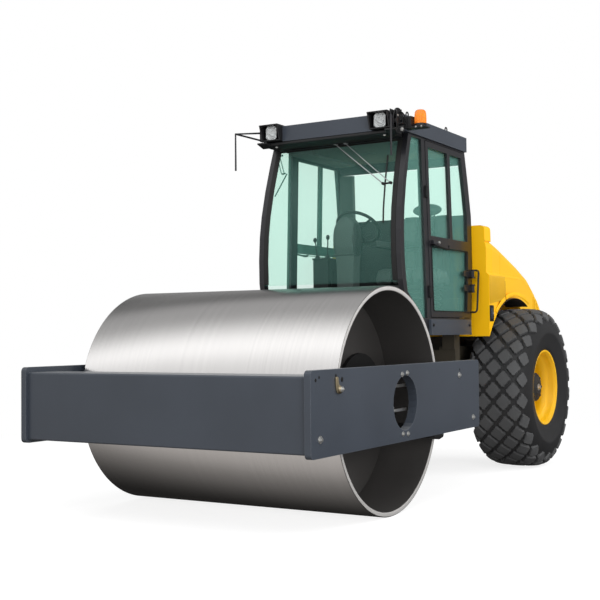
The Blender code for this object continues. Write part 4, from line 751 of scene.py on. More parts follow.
    @staticmethod
    def grow(name: str, base: bpy.types.Mesh, tree: bpy.types.NodeTree, values: dict[str, object]) -> bpy.types.Object:
        """Run a tree on a mesh and keep the plain result.

        Args:
            name: The new object's name.
            base: The mesh that the tree starts from.
            tree: The Geometry Nodes tree.
            values: The tree's inputs by name.

        Returns:
            The new object, at the origin and without a modifier.
        """
        made = bpy.data.objects.new(name, base)
        bpy.context.scene.collection.objects.link(made)
        modifier = made.modifiers.new("repeat", "NODES")
        modifier.node_group = tree
        for item in tree.interface.items_tree:
            if item.in_out == "INPUT" and item.name in values:
                modifier[item.identifier] = values[item.name]
        settle(made)
        return made


# The tyre's crown: share of the reach round it, x, drop below the top, and tilt as a share of a right angle
CROWN_SCALE = 0.4
CROWN = ((0.0, 0.0, 0.0, 0.0), (0.27, 0.1035, 0.003, 0.04), (0.52, 0.197, 0.017, 0.14), (0.66, 0.242, 0.042, 0.42),
         (0.80, 0.272, 0.088, 0.72), (1.0, 0.290, 0.160, 0.92))
REPEATS = Repeats()


def screws(name: str, body: str, spots: Sequence[tuple[Point, Point, float]], finish: Finish = ZINC,
           head: float = 0.010, height: float = 0.008, washer: float = 0.016) -> bpy.types.Object:
    """Set screws on one body.

    Args:
        name: The piece's name.
        body: The CAD body that carries them.
        spots: Place, facing and size factor of each screw.
        finish: Their finish.
        head: Head radius at size 1.
        height: Head height at size 1.
        washer: Washer radius at size 1.

    Returns:
        One object with all the screws.
    """
    mesh = bpy.data.meshes.new(name)
    mesh.from_pydata([tuple(place) for place, _, _ in spots], [], [])
    mesh.attributes.new("facing", "FLOAT_VECTOR", "POINT")
    mesh.attributes.new("size", "FLOAT", "POINT")
    for i, (_, way, factor) in enumerate(spots):
        mesh.attributes["facing"].data[i].vector = way
        mesh.attributes["size"].data[i].value = factor
    piece = REPEATS.grow(name, mesh, REPEATS.screws(), {
        "Head radius": head, "Head height": height, "Washer radius": washer, "Material": SHOP.material(finish)})
    return mounted(piece, body, 30.0)


@dataclass
class Drum:
    """The brushed steel drum and its dark hollow ends."""

    radius: float = 0.800
    half_width: float = 1.065
    shell: float = 0.033
    centre: tuple[float, float, float] = (0.0, -1.685, 0.800)
    steps: int = 180

    def build(self) -> None:
        """Make the smooth shell and dress the heads."""
        inner = self.radius - self.shell
        sketch = Sketch(DRUM_STEEL, DRUM_INSIDE, DRUM_LIP)
        edge = self.half_width
        outside = [(inner + 0.004, edge), (self.radius - 0.006, edge), (self.radius - 0.002, edge - 0.002),
                   (self.radius, edge - 0.006)]
        skin = outside[1:] + [(r, -x) for r, x in reversed(outside[1:])]
        sketch.loft([self._ring(r, x) for r, x in skin], caps=False)
        for side in (1, -1):
            lip = [(inner, edge - 0.004), (inner + 0.004, edge), (self.radius - 0.006, edge)][::side]
            sketch.use(2).loft([self._ring(r, side * x) for r, x in lip], caps=False)
        inside = [(inner, edge - 0.004), (inner, -edge + 0.004)]
        sketch.use(1).loft([self._ring(r, x) for r, x in inside], caps=False)
        shell = sketch.done("drum_skin", "drum", angle=40)
        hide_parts("drum_shell")
        dress(("drum_head_left", "drum_head_right"), DRUM_INSIDE)

    def _ring(self, radius: float, x: float) -> list[Point]:
        """Return a circle of points round the drum's axis."""
        return [(x, self.centre[1] + radius * cos(2 * pi * k / self.steps),
                 self.centre[2] + radius * sin(2 * pi * k / self.steps)) for k in range(self.steps)]


@dataclass
class DrumFrame:
    """The welded frame round the drum, with its bolts, lifting eyes and holes."""

    outer: float = 1.175
    inner: float = 1.085
    front: float = -2.975
    bolts: tuple = ((-2.868, 0.636, 1.5), (-1.736, 0.985, 1.15), (-1.656, 0.992, 1.15), (-1.731, 0.577, 1.1),
                    (-1.652, 0.572, 1.1), (-0.736, 0.944, 1.4), (-0.466, 0.605, 1.4))
    holes: tuple = ((-2.915, 0.992, 0.011), (-2.873, 1.008, 0.009), (-2.590, 0.985, 0.016), (-2.668, 1.012, 0.010),
                    (-0.725, 0.986, 0.008))

    def build(self) -> None:
        """Dress the frame's nodes and add the hardware on both side plates."""
        dress(("frame_side_left", "frame_side_right", "front_beam", "frame_yoke"), FRAME_PAINT)
        dress(("centre_pin",), PIN_STEEL)
        # The carriers inside the drum get near-black: painted shade.
        dress(("drum_carrier_left", "drum_carrier_right"), SHADE_BLACK)
        dress(("scraper_front", "scraper_rear"), BLACK_PAINT)
        spots = [((side * (self.outer - 0.0002), y, z), (side, 0, 0), size) for side in (1, -1) for y, z, size in self.bolts]
        screws("frame_screws", "front_frame", spots)
        self._holes()
        self._lifting_eyes()
        self._inside_bars()

    def _holes(self) -> None:
        """Set dark discs on both plates where the small tapped holes are: painted shade of the holes."""
        sketch = Sketch(SEAL_RUBBER)
        for side in (1, -1):
            for y, z, radius in self.holes:
                sketch.turned([(0.0, self.outer - 0.004), (radius, self.outer - 0.004), (radius, self.outer + 0.0007),
                               (radius * 0.8, self.outer + 0.0009), (0.0, self.outer + 0.0009)], 20, (0.0, y, z))
            if side > 0:
                for vert in sketch.bm.verts:
                    vert.tag = True
            else:
                for vert in sketch.bm.verts:
                    if not vert.tag:
                        vert.co.x = -vert.co.x
        sketch.done("frame_holes", "front_frame")

    def _lifting_eyes(self) -> None:
        """Hang a brass locking lever with its bolt near the front of both plates."""
        sketch = Sketch(BRASS, ZINC)
        for side in (1, -1):
            def out(depth: float) -> float:
                return side * (self.outer + depth)

            lever = [(-2.684, 1.004), (-2.658, 1.006), (-2.646, 0.952), (-2.612, 0.944), (-2.600, 0.918), (-2.622, 0.896),
                     (-2.662, 0.902), (-2.676, 0.930)]
            sketch.use(0).prism(rounded(lever, 0.012), *sorted((out(0.001), out(0.013))))
            sketch.use(1).rod((out(0.012), -2.626, 0.926), (out(0.026), -2.626, 0.926), 0.019, 6)
            sketch.rod((out(0.0), -2.626, 0.926), (out(0.034), -2.626, 0.926), 0.010, 14)
        sketch.done("lifting_eyes", "front_frame", bevel=0.002)

    def _inside_bars(self) -> None:
        """Show the stiffening bars behind the round opening and the scraper's brackets under the plates."""
        sketch = Sketch(ZINC, BLACK_PAINT)
        for side in (1, -1):
            for z in (0.730, 0.900):
                sketch.use(0).box((side * (self.inner - 0.016), side * (self.inner + 0.006)), (-1.905, -1.465),
                                  (z - 0.010, z + 0.010))
            sketch.rod((side * (self.inner + 0.005), -1.720, 0.748), (side * (self.inner + 0.014), -1.720, 0.748), 0.014, 6)
            bracket = [(-1.200, 0.5235), (-1.020, 0.5235), (-1.030, 0.498), (-1.105, 0.484), (-1.180, 0.502)]
            sketch.use(1).prism(rounded(bracket, 0.010), *sorted((side * 1.092, side * 1.168)))
        sketch.done("frame_bars", "front_frame", bevel=0.002)


@dataclass
class Wheel:
    """One driven wheel: the tyre with its diamond blocks and the deep rim."""

    side: int
    x: float = 0.860
    y: float = 1.515
    radius: float = 0.745
    around: int = 22
    rows: int = 7
    reach: float = 0.372
    groove: float = 0.022
    steps: int = 96

    def build(self) -> None:
        """Make the tyre and the rim of this side."""
        self.mark = "left" if self.side > 0 else "right"
        self.body = "wheel_" + self.mark
        self.centre = (self.side * self.x, self.y, self.radius)
        self._tyre()
        self._rim()

    def _tyre(self) -> None:
        """Make the carcass and wrap the blocks round it."""
        low = self.groove
        half = [(self.radius - low, 0.0), (self.radius - low - 0.002, 0.10), (self.radius - low - 0.015, 0.185),
                (self.radius - 0.060, 0.225), (self.radius - 0.100, 0.258), (self.radius - 0.160, 0.282),
                (self.radius - 0.215, 0.2885), (self.radius - 0.222, 0.2895), (self.radius - 0.236, 0.2895),
                (self.radius - 0.243, 0.287), (self.radius - 0.300, 0.276), (self.radius - 0.340, 0.264),
                (0.378, 0.258), (0.368, 0.254), (0.356, 0.244), (0.345, 0.236), (0.3303, 0.226), (0.3303, 0.186),
                (0.540, 0.230), (self.radius - 0.075, 0.0)]
        profile = half + [(r, -x) for r, x in reversed(half[1:-1])]
        sketch = Sketch(SIDE_RUBBER)
        sketch.turned(profile, self.steps, self.centre)
        carcass = sketch.done("tyre_sides_" + self.mark, self.body, angle=50)
        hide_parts("tyre_" + self.mark)
        step = self.reach / 4.0 * 0.99
        block = self._block(step)
        tread = REPEATS.grow("tread_blocks_" + self.mark, bpy.data.meshes.new("seed"), REPEATS.tread(), {
            "Block": block, "Around": self.around, "Rows": self.rows, "Row step": step, "Radius": self.radius,
            "Reach": self.reach, "Centre": self.centre, "Material": SHOP.material(TYRE_RUBBER)})
        bpy.data.objects.remove(block)
        mounted(tread, self.body, 38)

    def _block(self, step: float) -> bpy.types.Object:
        """Return one flat diamond block, X across the tread, Y in shares of the pitch, Z outwards."""
        rings = []
        for shrink, height in ((0.87, -self.groove - 0.002), (0.84, -self.groove * 0.6), (0.80, -0.005), (0.755, 0.0)):
            corners = [(step * shrink, 0.0), (0.0, 0.5 * shrink), (-step * shrink, 0.0), (0.0, -0.5 * shrink)]
            outline = []
            for i, corner in enumerate(corners):
                here, before, after = Vector(corner), Vector(corners[i - 1]), Vector(corners[(i + 1) % 4])
                for t, sunk in ((0.28, 0.050), (0.14, 0.008), (-0.14, 0.008), (-0.28, 0.050)):
                    other = before if t > 0 else after
                    outline.append(here + (other - here) * abs(t) + (before + after - here * 2) * sunk)
                middle = here + (after - here) * 0.5
                outline.append(middle)
            rings.append([(x, y, height) for x, y in outline])
        sketch = Sketch(TYRE_RUBBER)
        loops = [sketch.ring(r) for r in rings]
        for near, far in zip(loops, loops[1:]):
            for i in range(len(near)):
                j = (i + 1) % len(near)
                sketch.face((near[i], near[j], far[j], far[i]))
        top = loops[-1]
        middle = sketch.ring([(0.0, 0.0, 0.0)])[0]
        for i in range(len(top)):
            sketch.face((top[i], top[(i + 1) % len(top)], middle))
        mesh = bpy.data.meshes.new("block")
        sketch.bm.to_mesh(mesh)
        sketch.bm.free()
        made = bpy.data.objects.new("block", mesh)
        bpy.context.scene.collection.objects.link(made)
        return made

    def _rim(self) -> None:
        """Make the deep dished rim with its locking rings, disc, hub and nuts."""
        half = [(0.3300, 0.225), (0.3300, 0.171), (0.300, 0.150), (0.288, 0.135), (0.285, 0.0)]
        face = [(0.316, 0.228), (0.351, 0.234), (0.353, 0.240), (0.351, 0.246), (0.343, 0.2465), (0.334, 0.243),
                (0.328, 0.232), (0.322, 0.226), (0.317, 0.214), (0.316, 0.180), (0.309, 0.172), (0.304, 0.166),
                (0.294, 0.160), (0.287, 0.150), (0.276, 0.128), (0.271, 0.10)]
        inner = [(0.271, 0.0), (0.271, -0.128), (0.316, -0.180), (0.316, -0.236), (0.343, -0.246), (0.351, -0.240),
                 (0.351, -0.234), (0.330, -0.228), (0.330, -0.171), (0.288, -0.135)]
        profile = [(r, self.side * x) for r, x in face[1:] + inner + [(r, x) for r, x in reversed(half)]]
        sketch = Sketch(RIM_PAINT, CAST_IRON, ZINC)
        sketch.turned(profile, self.steps, self.centre)
        disc = [(0.2712, -0.060), (0.0, -0.060), (0.0, -0.042), (0.150, -0.042), (0.185, -0.036), (0.230, -0.040),
                (0.255, -0.030), (0.2712, -0.010)]
        sketch.turned([(r, self.side * x) for r, x in disc], self.steps, self.centre)
        hub = [(0.0, -0.043), (0.160, -0.043), (0.160, -0.020), (0.142, -0.014), (0.140, 0.120), (0.132, 0.140),
               (0.134, 0.150), (0.120, 0.164), (0.070, 0.170), (0.064, 0.176), (0.0, 0.176)]
        sketch.use(1).turned([(r, self.side * x) for r, x in hub], 48, self.centre)
        rim = sketch.done("rim_dish_" + self.mark, self.body, angle=40)
        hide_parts("rim_" + self.mark)
        spots = []
        for k in range(10):
            angle = 2 * pi * (k + 0.5) / 10
            spots.append(((self.centre[0] - self.side * 0.0405, self.y + 0.195 * cos(angle),
                           self.radius + 0.195 * sin(angle)), (self.side, 0, 0), 1.8))
        screws("wheel_nuts_" + self.mark, self.body, spots)
        face = self.centre[0] + self.side * 0.1635
        spots = [((face, self.y + 0.112 * cos(pi * k / 4), self.radius + 0.112 * sin(pi * k / 4)), (self.side, 0, 0), 0.8)
                 for k in range(8)]
        screws("hub_screws_" + self.mark, self.body, spots, CAST_IRON)
        screws("hub_plug_" + self.mark, self.body, [((self.centre[0] + self.side * 0.1755, self.y, self.radius),
                                                     (self.side, 0, 0), 2.0)])


@dataclass
class Chassis:
    """The rear chassis, axle, engine, bumper and steering cylinders."""

    def build(self) -> None:
        """Dress the chassis nodes."""
        dress(("rear_chassis",), DUSTY_PAINT)
        dress(("rear_bumper", "cab_floor"), FRAME_PAINT)
        dress(("rear_axle", "engine"), CAST_IRON)
        dress(("cylinder_barrel_left", "cylinder_barrel_right"), BLACK_PAINT)
        dress(("cylinder_rod_left", "cylinder_rod_right"), PIN_STEEL)


# The cab's bowed front edge: distance behind its foremost point, and height
FRONT_EDGE = ((0.052, 1.530), (0.012, 1.700), (0.0, 1.900), (0.006, 2.100), (0.030, 2.280), (0.082, 2.500),
              (0.150, 2.720), (0.215, 2.905))
CAB_FRONT_Y = -0.687


def lean(z: float) -> float:
    """Return how much the cab's width at a height differs from its width at the waist."""
    return 1.0 - 0.04 * max(z - 2.1, -0.9)


def front_edge(z: float) -> float:
    """Return where the cab's front edge lies along Y at a height."""
    for (y0, z0), (y1, z1) in zip(FRONT_EDGE, FRONT_EDGE[1:]):
        if z <= z1:
            return CAB_FRONT_Y + y0 + (y1 - y0) * (z - z0) / (z1 - z0)
    return CAB_FRONT_Y + FRONT_EDGE[-1][0]


def on_screen(x: float, z: float, out: float = 0.0) -> Vector:
    """Return a point in front of the windscreen, so far out from its glass."""
    return Vector((x, front_edge(z) + 0.006 - out, z))


@dataclass
class Cab:
    """The cab: bowed frame, doors, glass, handrails, wipers and seals."""

    half: float = 0.670
    glass_half: float = 0.6235
    seal: float = 0.044
    header: float = 2.866
    roof_under: float = 2.9045
    door_front: float = -0.155

    def build(self) -> None:
        """Dress the cab's nodes and add its fittings."""
        dress(("cab_frame", "door_left", "door_right", "mirror_arm_left", "mirror_arm_right"), CAB_PAINT)
        dress(("windscreen", "rear_window", "quarter_glass_left", "quarter_glass_right", "door_glass_left",
               "door_glass_right"), CAB_GLASS)
        dress(("handrail_left", "handrail_right"), BLACK_PAINT)
        self._windscreen_seal()
        self._valance()
        self._wiper("wiper_left", (-0.020, 2.872), (0.493, 2.480), (0.077, 2.870), (0.560, 2.482), (0.496, 2.722),
                    (0.514, 2.158))
        self._quarter_wiper()
        for side in (1, -1):
            self._door_fittings(side)
        self._sill_bolts()

    def _windscreen_seal(self) -> None:
        """Run the black rubber seal round the windscreen."""
        sketch = Sketch(SEAL_RUBBER)
        heights = (1.690, 1.700, 1.800, 1.900, 2.000, 2.100, 2.190, 2.280, 2.390, 2.500, 2.610, 2.720, 2.790, 2.858)
        inner = self.glass_half - self.seal
        for side in (1, -1):
            sketch.loft([[(side * x * lean(z), front_edge(z) + y, z) for x, y in (
                (inner, 0.0056), (inner, 0.0020), (inner + 0.006, -0.0015), (self.glass_half, -0.0015),
                (self.glass_half, 0.0056))] for z in heights])
        for low, high in ((2.842, 2.858),):
            half = inner * lean(high) + 0.004
            sketch.loft([[(x, front_edge(z) + y, z) for x, y in ((-half, 0.0056), (half, 0.0056), (half, 0.0006),
                                                                  (-half, 0.0006))] for z in (low, high)])
        sketch.done("windscreen_seal", "rear_frame")

    def _valance(self) -> None:
        """Close the space between the roof's front and the windscreen's top with a black cover."""
        sketch = Sketch(BLACK_PLASTIC)
        top, low = self.roof_under, self.header
        sketch.prism([(-0.686, top), (-0.686, top - 0.022), (-0.612, low), (-0.505, low), (-0.486, low + 0.020),
                      (-0.486, top)], -0.602, 0.602)
        for side in (1, -1):
            sketch.prism([(-0.735, top), (-0.735, top - 0.012), (-0.640, top - 0.040), (-0.640, top)],
                         *sorted((side * 0.560, side * 0.655)))
        sketch.done("roof_valance", "rear_frame", bevel=0.003)

    def _wiper(self, name: str, foot: Point, wrist: Point, foot_two: Point, wrist_two: Point, top: Point,
               low: Point) -> None:
        """Make one wiper with two parallel arms, its carrier and its blade.

        Args:
            name: The piece's name.
            foot: X and Z of the main arm's shaft.
            wrist: X and Z where the main arm holds the blade.
            foot_two: X and Z of the second arm's shaft.
            wrist_two: X and Z where the second arm ends.
            top: X and Z of the blade's upper end.
            low: X and Z of the blade's lower end.
        """
        sketch = Sketch(WIPER_STEEL, SEAL_RUBBER)
        for (x0, z0), (x1, z1), radius in ((foot, wrist, 0.0050), (foot_two, wrist_two, 0.0042)):
            path = [on_screen(x0 + (x1 - x0) * t, z0 + (z1 - z0) * t, 0.030 + 0.006 * sin(pi * t)) for t in
                    (0.0, 0.15, 0.3, 0.45, 0.6, 0.75, 0.9, 1.0)]
            sketch.use(0).tube(path, radius, 8)
            shaft = on_screen(x0, z0)
            sketch.rod(shaft + Vector((0, 0.02, 0)), shaft + Vector((0, -0.040, 0)), 0.011, 16)
            wrist_at = on_screen(x1, z1)
            sketch.use(1).rod(wrist_at + Vector((0, -0.014, 0)), wrist_at + Vector((0, -0.038, 0)), 0.012, 14)
        carrier = [on_screen(wrist[0], wrist[1], 0.020), on_screen(wrist_two[0], wrist_two[1], 0.020)]
        sketch.tube(carrier, 0.008, 8)
        path = [on_screen(top[0] + (low[0] - top[0]) * t / 10, top[1] + (low[1] - top[1]) * t / 10, 0.012)
                for t in range(11)]
        rings = []
        for spot in path:
            rings.append([spot + Vector(d) for d in ((-0.006, -0.004, 0), (0.006, -0.004, 0), (0.006, 0.0, 0),
                                                     (0.0015, 0.004, 0), (0.0015, 0.0115, 0), (-0.0015, 0.0115, 0),
                                                     (-0.0015, 0.004, 0), (-0.006, 0.0, 0))])
        sketch.loft(rings)
        sketch.done(name, "rear_frame")

    def _quarter_wiper(self) -> None:
        """Put the small wiper on the quarter glass of the right side."""
        sketch = Sketch(WIPER_STEEL, SEAL_RUBBER)

        def spot(y: float, z: float, out: float) -> Vector:
            return Vector((-(self.half - 0.014 + out) * lean(z), y, z))

        for a, b in (((-0.400, 2.850), (-0.325, 2.690)), ((-0.350, 2.850), (-0.280, 2.700))):
            sketch.use(0).tube([spot(*a, 0.034), spot(*b, 0.026)], 0.0045, 8)
            sketch.rod(spot(*a, 0.0), spot(*a, 0.042), 0.009, 14)
        sketch.use(1).tube([spot(-0.325, 2.690, 0.020), spot(-0.275, 2.700, 0.020)], 0.007, 8)
        rings = []
        for k in range(7):
            y, z = -0.262 - 0.195 * k / 6, 2.700 - 0.225 * k / 6
            rings.append([spot(y + dy, z, out) for dy, out in ((-0.005, 0.012), (0.005, 0.012), (0.005, 0.006),
                                                               (0.001, 0.001), (-0.001, 0.001), (-0.005, 0.006))])
        sketch.loft(rings)
        sketch.done("wiper_right", "rear_frame")

    def _door_fittings(self, side: int) -> None:
        """Add a door's lock, lever, catch and glass seal.

        Args:
            side: 1 for the left door, -1 for the right.
        """
        mark = "left" if side > 0 else "right"

        def spot(out: float, y: float, z: float) -> Vector:
            return Vector((side * (self.half + 0.004 + out) * lean(z), y, z))

        sketch = Sketch(BLACK_PLASTIC, ZINC, SEAL_RUBBER)
        sketch.tube([spot(0.030, -0.100, 2.006), spot(0.034, 0.020, 1.996), spot(0.034, 0.150, 1.984),
                     spot(0.034, 0.190, 1.990), spot(0.030, 0.198, 2.020)], 0.0085, 10, bend=0.025)
        for y in (-0.090, 0.140):
            sketch.rod(spot(-0.002, y, 2.010 - (y + 0.09) * 0.08), spot(0.034, y, 2.004 - (y + 0.09) * 0.08), 0.010, 12)
        sketch.use(1).rod(spot(0.028, -0.022, 2.030), spot(0.043, -0.022, 2.030), 0.013, 20)
        sketch.rod(spot(0.043, -0.022, 2.030), spot(0.046, -0.022, 2.030), 0.009, 20)
        sketch.done("door_handle_" + mark, "door_" + mark, bevel=0.001)
        sketch = Sketch(SEAL_RUBBER)
        out = 0.0012
        path = [(-0.105, 1.452), (-0.105, 1.990), (0.655, 1.990), (0.640, 1.800), (0.618, 1.452)]
        for corners in (path,):
            rim = [spot(out, y, z) for y, z in rounded(corners, 0.020)]
            count = len(rim)
            middle = Vector((0.0, 0.27, 1.72))
            rings = []
            for i, here in enumerate(rim):
                away = Vector((0, here.y - middle.y, here.z - middle.z)).normalized()
                rings.append([here + away * a + Vector((side * b, 0, 0)) for a, b in ((-0.006, -0.002), (0.006, -0.002),
                                                                                     (0.005, 0.003), (-0.005, 0.003))])
            loops = [sketch.ring(r) for r in rings]
            for i in range(count):
                near, far = loops[i], loops[(i + 1) % count]
                for k in range(4):
                    sketch.face((near[k], near[(k + 1) % 4], far[(k + 1) % 4], far[k]))
        sketch.done("door_seal_" + mark, "door_" + mark)
        sketch = Sketch(BLACK_PLASTIC)
        for low in (2.398, 1.560):
            sketch.box((side * (self.half - 0.004) * lean(low), side * (self.half + 0.020) * lean(low)), (-0.190, -0.160),
                       (low, low + 0.104))
        sketch.done("door_catch_" + mark, "rear_frame", bevel=0.005, segments=3)

    def _sill_bolts(self) -> None:
        """Set the bolts along both sills."""
        spots = [((side * 0.692 * lean(1.33) - side * 0.0002, y, 1.333), (side, 0, 0), 1.0)
                 for side in (1, -1) for y in (-0.165, 0.618)]
        screws("sill_screws", "rear_frame", spots, BLACK_PAINT)


@dataclass
class Roof:
    """The roof with its lamps, the beacon, the brackets beside it and the lifting loops."""

    lamp_in: float = 0.425
    lamp_out: float = 0.607
    lamp_low: float = 2.912
    lamp_high: float = 3.045
    lamp_front: float = -0.730
    lamp_back: float = -0.6653
    top: float = 3.035
    beacon_at: tuple[float, float] = (0.790, -0.542)
    beacon_low: float = 2.9253

    def build(self) -> None:
        """Dress the roof's nodes and add the fittings on it."""
        dress(("roof",), FRAME_PAINT)
        dress(("lamp_housing_left", "lamp_housing_right", "beacon_bracket"), BLACK_PAINT)
        for side in (1, -1):
            self._lamp(side)
        self._beacon()
        self._brackets()
        self._loops()

    def _lamp(self, side: int) -> None:
        """Build one square work lamp with its round mirror.

        Args:
            side: 1 for the left lamp, -1 for the right.
        """
        mark = "left" if side > 0 else "right"
        middle = side * (self.lamp_in + self.lamp_out) / 2
        height = (self.lamp_low + self.lamp_high) / 2
        half, tall, chamfer = 0.054, 0.0575, 0.016
        front, back = self.lamp_front, self.lamp_back

        def outline(grow: float) -> list[Point]:
            w, h, c = half + grow, tall + grow, chamfer
            return [(middle + x, height + z) for x, z in ((-w + c, -h), (w - c, -h), (w, -h + c), (w, h - c), (w - c, h),
                                                          (-w + c, h), (-w, h - c), (-w, -h + c))]

        sketch = Sketch(REFLECTOR, BLACK_PLASTIC)
        rim = [(x, front + 0.003, z) for x, z in outline(-0.002)]
        floor = [(x, front + 0.020, z) for x, z in outline(-0.006)]
        loops = [sketch.ring(r) for r in (rim, floor)]
        steps = 32
        dish = []
        for radius, depth in ((0.047, 0.020), (0.046, 0.022), (0.040, 0.034), (0.028, 0.046), (0.014, 0.052)):
            dish.append(sketch.ring([(middle + radius * cos(2 * pi * (k + 0.5) / steps - 3 * pi / 4 + pi / 8), front + depth,
                                      height + radius * sin(2 * pi * (k + 0.5) / steps - 3 * pi / 4 + pi / 8))
                                     for k in range(steps)]))
        for i in range(8):
            sketch.face((loops[0][i], loops[0][(i + 1) % 8], loops[1][(i + 1) % 8], loops[1][i]))
        for near, far in zip(dish, dish[1:]):
            for k in range(steps):
                sketch.face((near[k], near[(k + 1) % steps], far[(k + 1) % steps], far[k]))
        sketch.face(dish[-1])
        for i in range(8):
            arc_points = [dish[0][(i * 4 + k) % steps] for k in range(5)]
            sketch.face((loops[1][i], loops[1][(i + 1) % 8], *reversed(arc_points)))
        case = [sketch.ring([(x, y, z) for x, z in outline(grow)]) for y, grow in
                ((front + 0.003, -0.002), (front, 0.0), (front + 0.004, 0.003), (back - 0.001, 0.002))]
        sketch.use(1)
        for near, far in zip(case, case[1:]):
            for i in range(8):
                sketch.face((near[i], far[i], far[(i + 1) % 8], near[(i + 1) % 8]))
        sketch.face(case[-1])
        sketch.use(0).ball((middle, front + 0.034, height), (0.012, 0.014, 0.012), 16)
        lamp = sketch.done("lamp_mirror_" + mark, "rear_frame", angle=30)
        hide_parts("work_lamp_" + mark)
        sketch = Sketch(LAMP_LENS)
        sketch.loft([[(x, front + 0.0025, z) for x, z in outline(-0.003)], [(x, front - 0.0015, z) for x, z in outline(-0.005)]])
        sketch.done("lamp_lens_" + mark, "rear_frame", bevel=0.0008)

    def _beacon(self) -> None:
        """Build the amber beacon with its ribbed dome."""
        x, y = self.beacon_at
        low, steps = self.beacon_low, 96
        rings = []
        for radius, height, flute in ((0.0455, 0.0245, 0.0), (0.0465, 0.030, 0.0016), (0.0470, 0.050, 0.0018),
                                      (0.0465, 0.080, 0.0018), (0.0450, 0.105, 0.0016), (0.0430, 0.118, 0.0010),
                                      (0.0380, 0.129, 0.0004), (0.0280, 0.1355, 0.0), (0.0120, 0.1385, 0.0)):
            rings.append([(x + (radius + flute * cos(24 * 2 * pi * k / steps)) * cos(2 * pi * k / steps),
                           y + (radius + flute * cos(24 * 2 * pi * k / steps)) * sin(2 * pi * k / steps), low + height)
                          for k in range(steps)])
        sketch = Sketch(AMBER_LENS, BLACK_PLASTIC)
        sketch.loft(rings)
        sketch.use(1).turned([(0.0, 0.0), (0.0495, 0.0), (0.0500, 0.004), (0.0500, 0.018), (0.0480, 0.0245), (0.0, 0.0245)],
                             48, (x, y, low), "Z")
        beacon = sketch.done("beacon_dome", "rear_frame", angle=50)
        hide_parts("beacon")

    def _brackets(self) -> None:
        """Add the black brackets, the ribbed block and the hose loop between the left lamp and the beacon."""
        sketch = Sketch(BLACK_PAINT, BLACK_PLASTIC)
        sketch.box((0.6095, 0.616), (-0.735, -0.600), (2.880, 3.060))
        sketch.prism([(-0.700, 2.868), (-0.618, 2.868), (-0.618, 3.030), (-0.650, 3.072), (-0.700, 3.060)], 0.650, 0.656)
        sketch.box((0.610, 0.700), (-0.665, -0.657), (2.875, 2.925))
        sketch.box((0.610, 0.668), (-0.640, -0.632), (2.980, 3.062))
        sketch.box((0.616, 0.690), (-0.668, -0.612), (2.944, 2.951))
        sketch.use(1)
        sketch.tube([(0.625, -0.700, 2.900), (0.628, -0.712, 3.000), (0.640, -0.690, 3.070), (0.662, -0.650, 3.066),
                     (0.672, -0.625, 3.000), (0.668, -0.615, 2.930)], 0.006, 8, bend=0.03)
        sketch.tube([(0.600, -0.640, 3.050), (0.640, -0.660, 3.060), (0.690, -0.640, 3.030), (0.700, -0.610, 2.960)], 0.005, 8,
                    bend=0.03)
        for k in range(4):
            sketch.box((0.672 + 0.016 * k, 0.680 + 0.016 * k), (-0.6055, -0.6015), (2.925, 3.004))
        sketch.rod((0.636, -0.664, 2.968), (0.636, -0.690, 2.968), 0.018, 20)
        sketch.rod((0.636, -0.690, 2.968), (0.636, -0.696, 2.968), 0.012, 20)
        sketch.done("beacon_wiring", "rear_frame", bevel=0.0015)
        spots = [((0.632, -0.6652, 2.905), (0, -1, 0), 0.9), ((0.684, -0.6652, 2.898), (0, -1, 0), 0.9),
                 ((0.640, -0.6402, 3.040), (0, -1, 0), 0.8), ((0.656, -0.682, 3.010), (1, 0, 0), 0.7),
                 ((0.516, -0.6402, 2.878), (0, -1, 0), 0.9), ((-0.516, -0.6402, 2.878), (0, -1, 0), 0.9),
                 ((0.770, -0.592, 2.920), (0, -1, 0), 0.5), ((0.820, -0.592, 2.920), (0, -1, 0), 0.5)]
        screws("bracket_screws", "rear_frame", spots)

    def _loops(self) -> None:
        """Stand the four lifting loops on the roof."""
        sketch = Sketch(BLACK_PAINT)
        for side in (1, -1):
            for y in (-0.430, 0.365):
                x = side * 0.620
                sketch.tube([(x, y - 0.020, self.top - 0.002), (x, y - 0.022, self.top + 0.030), (x, y - 0.010, self.top + 0.046),
                             (x, y + 0.010, self.top + 0.046), (x, y + 0.022, self.top + 0.030), (x, y + 0.020, self.top - 0.002)],
                            0.0055, 10, bend=0.010)
                sketch.box((x - 0.022, x + 0.022), (y - 0.036, y + 0.036), (self.top + 0.0002, self.top + 0.005))
        sketch.done("lifting_loops", "rear_frame", bevel=0.001)


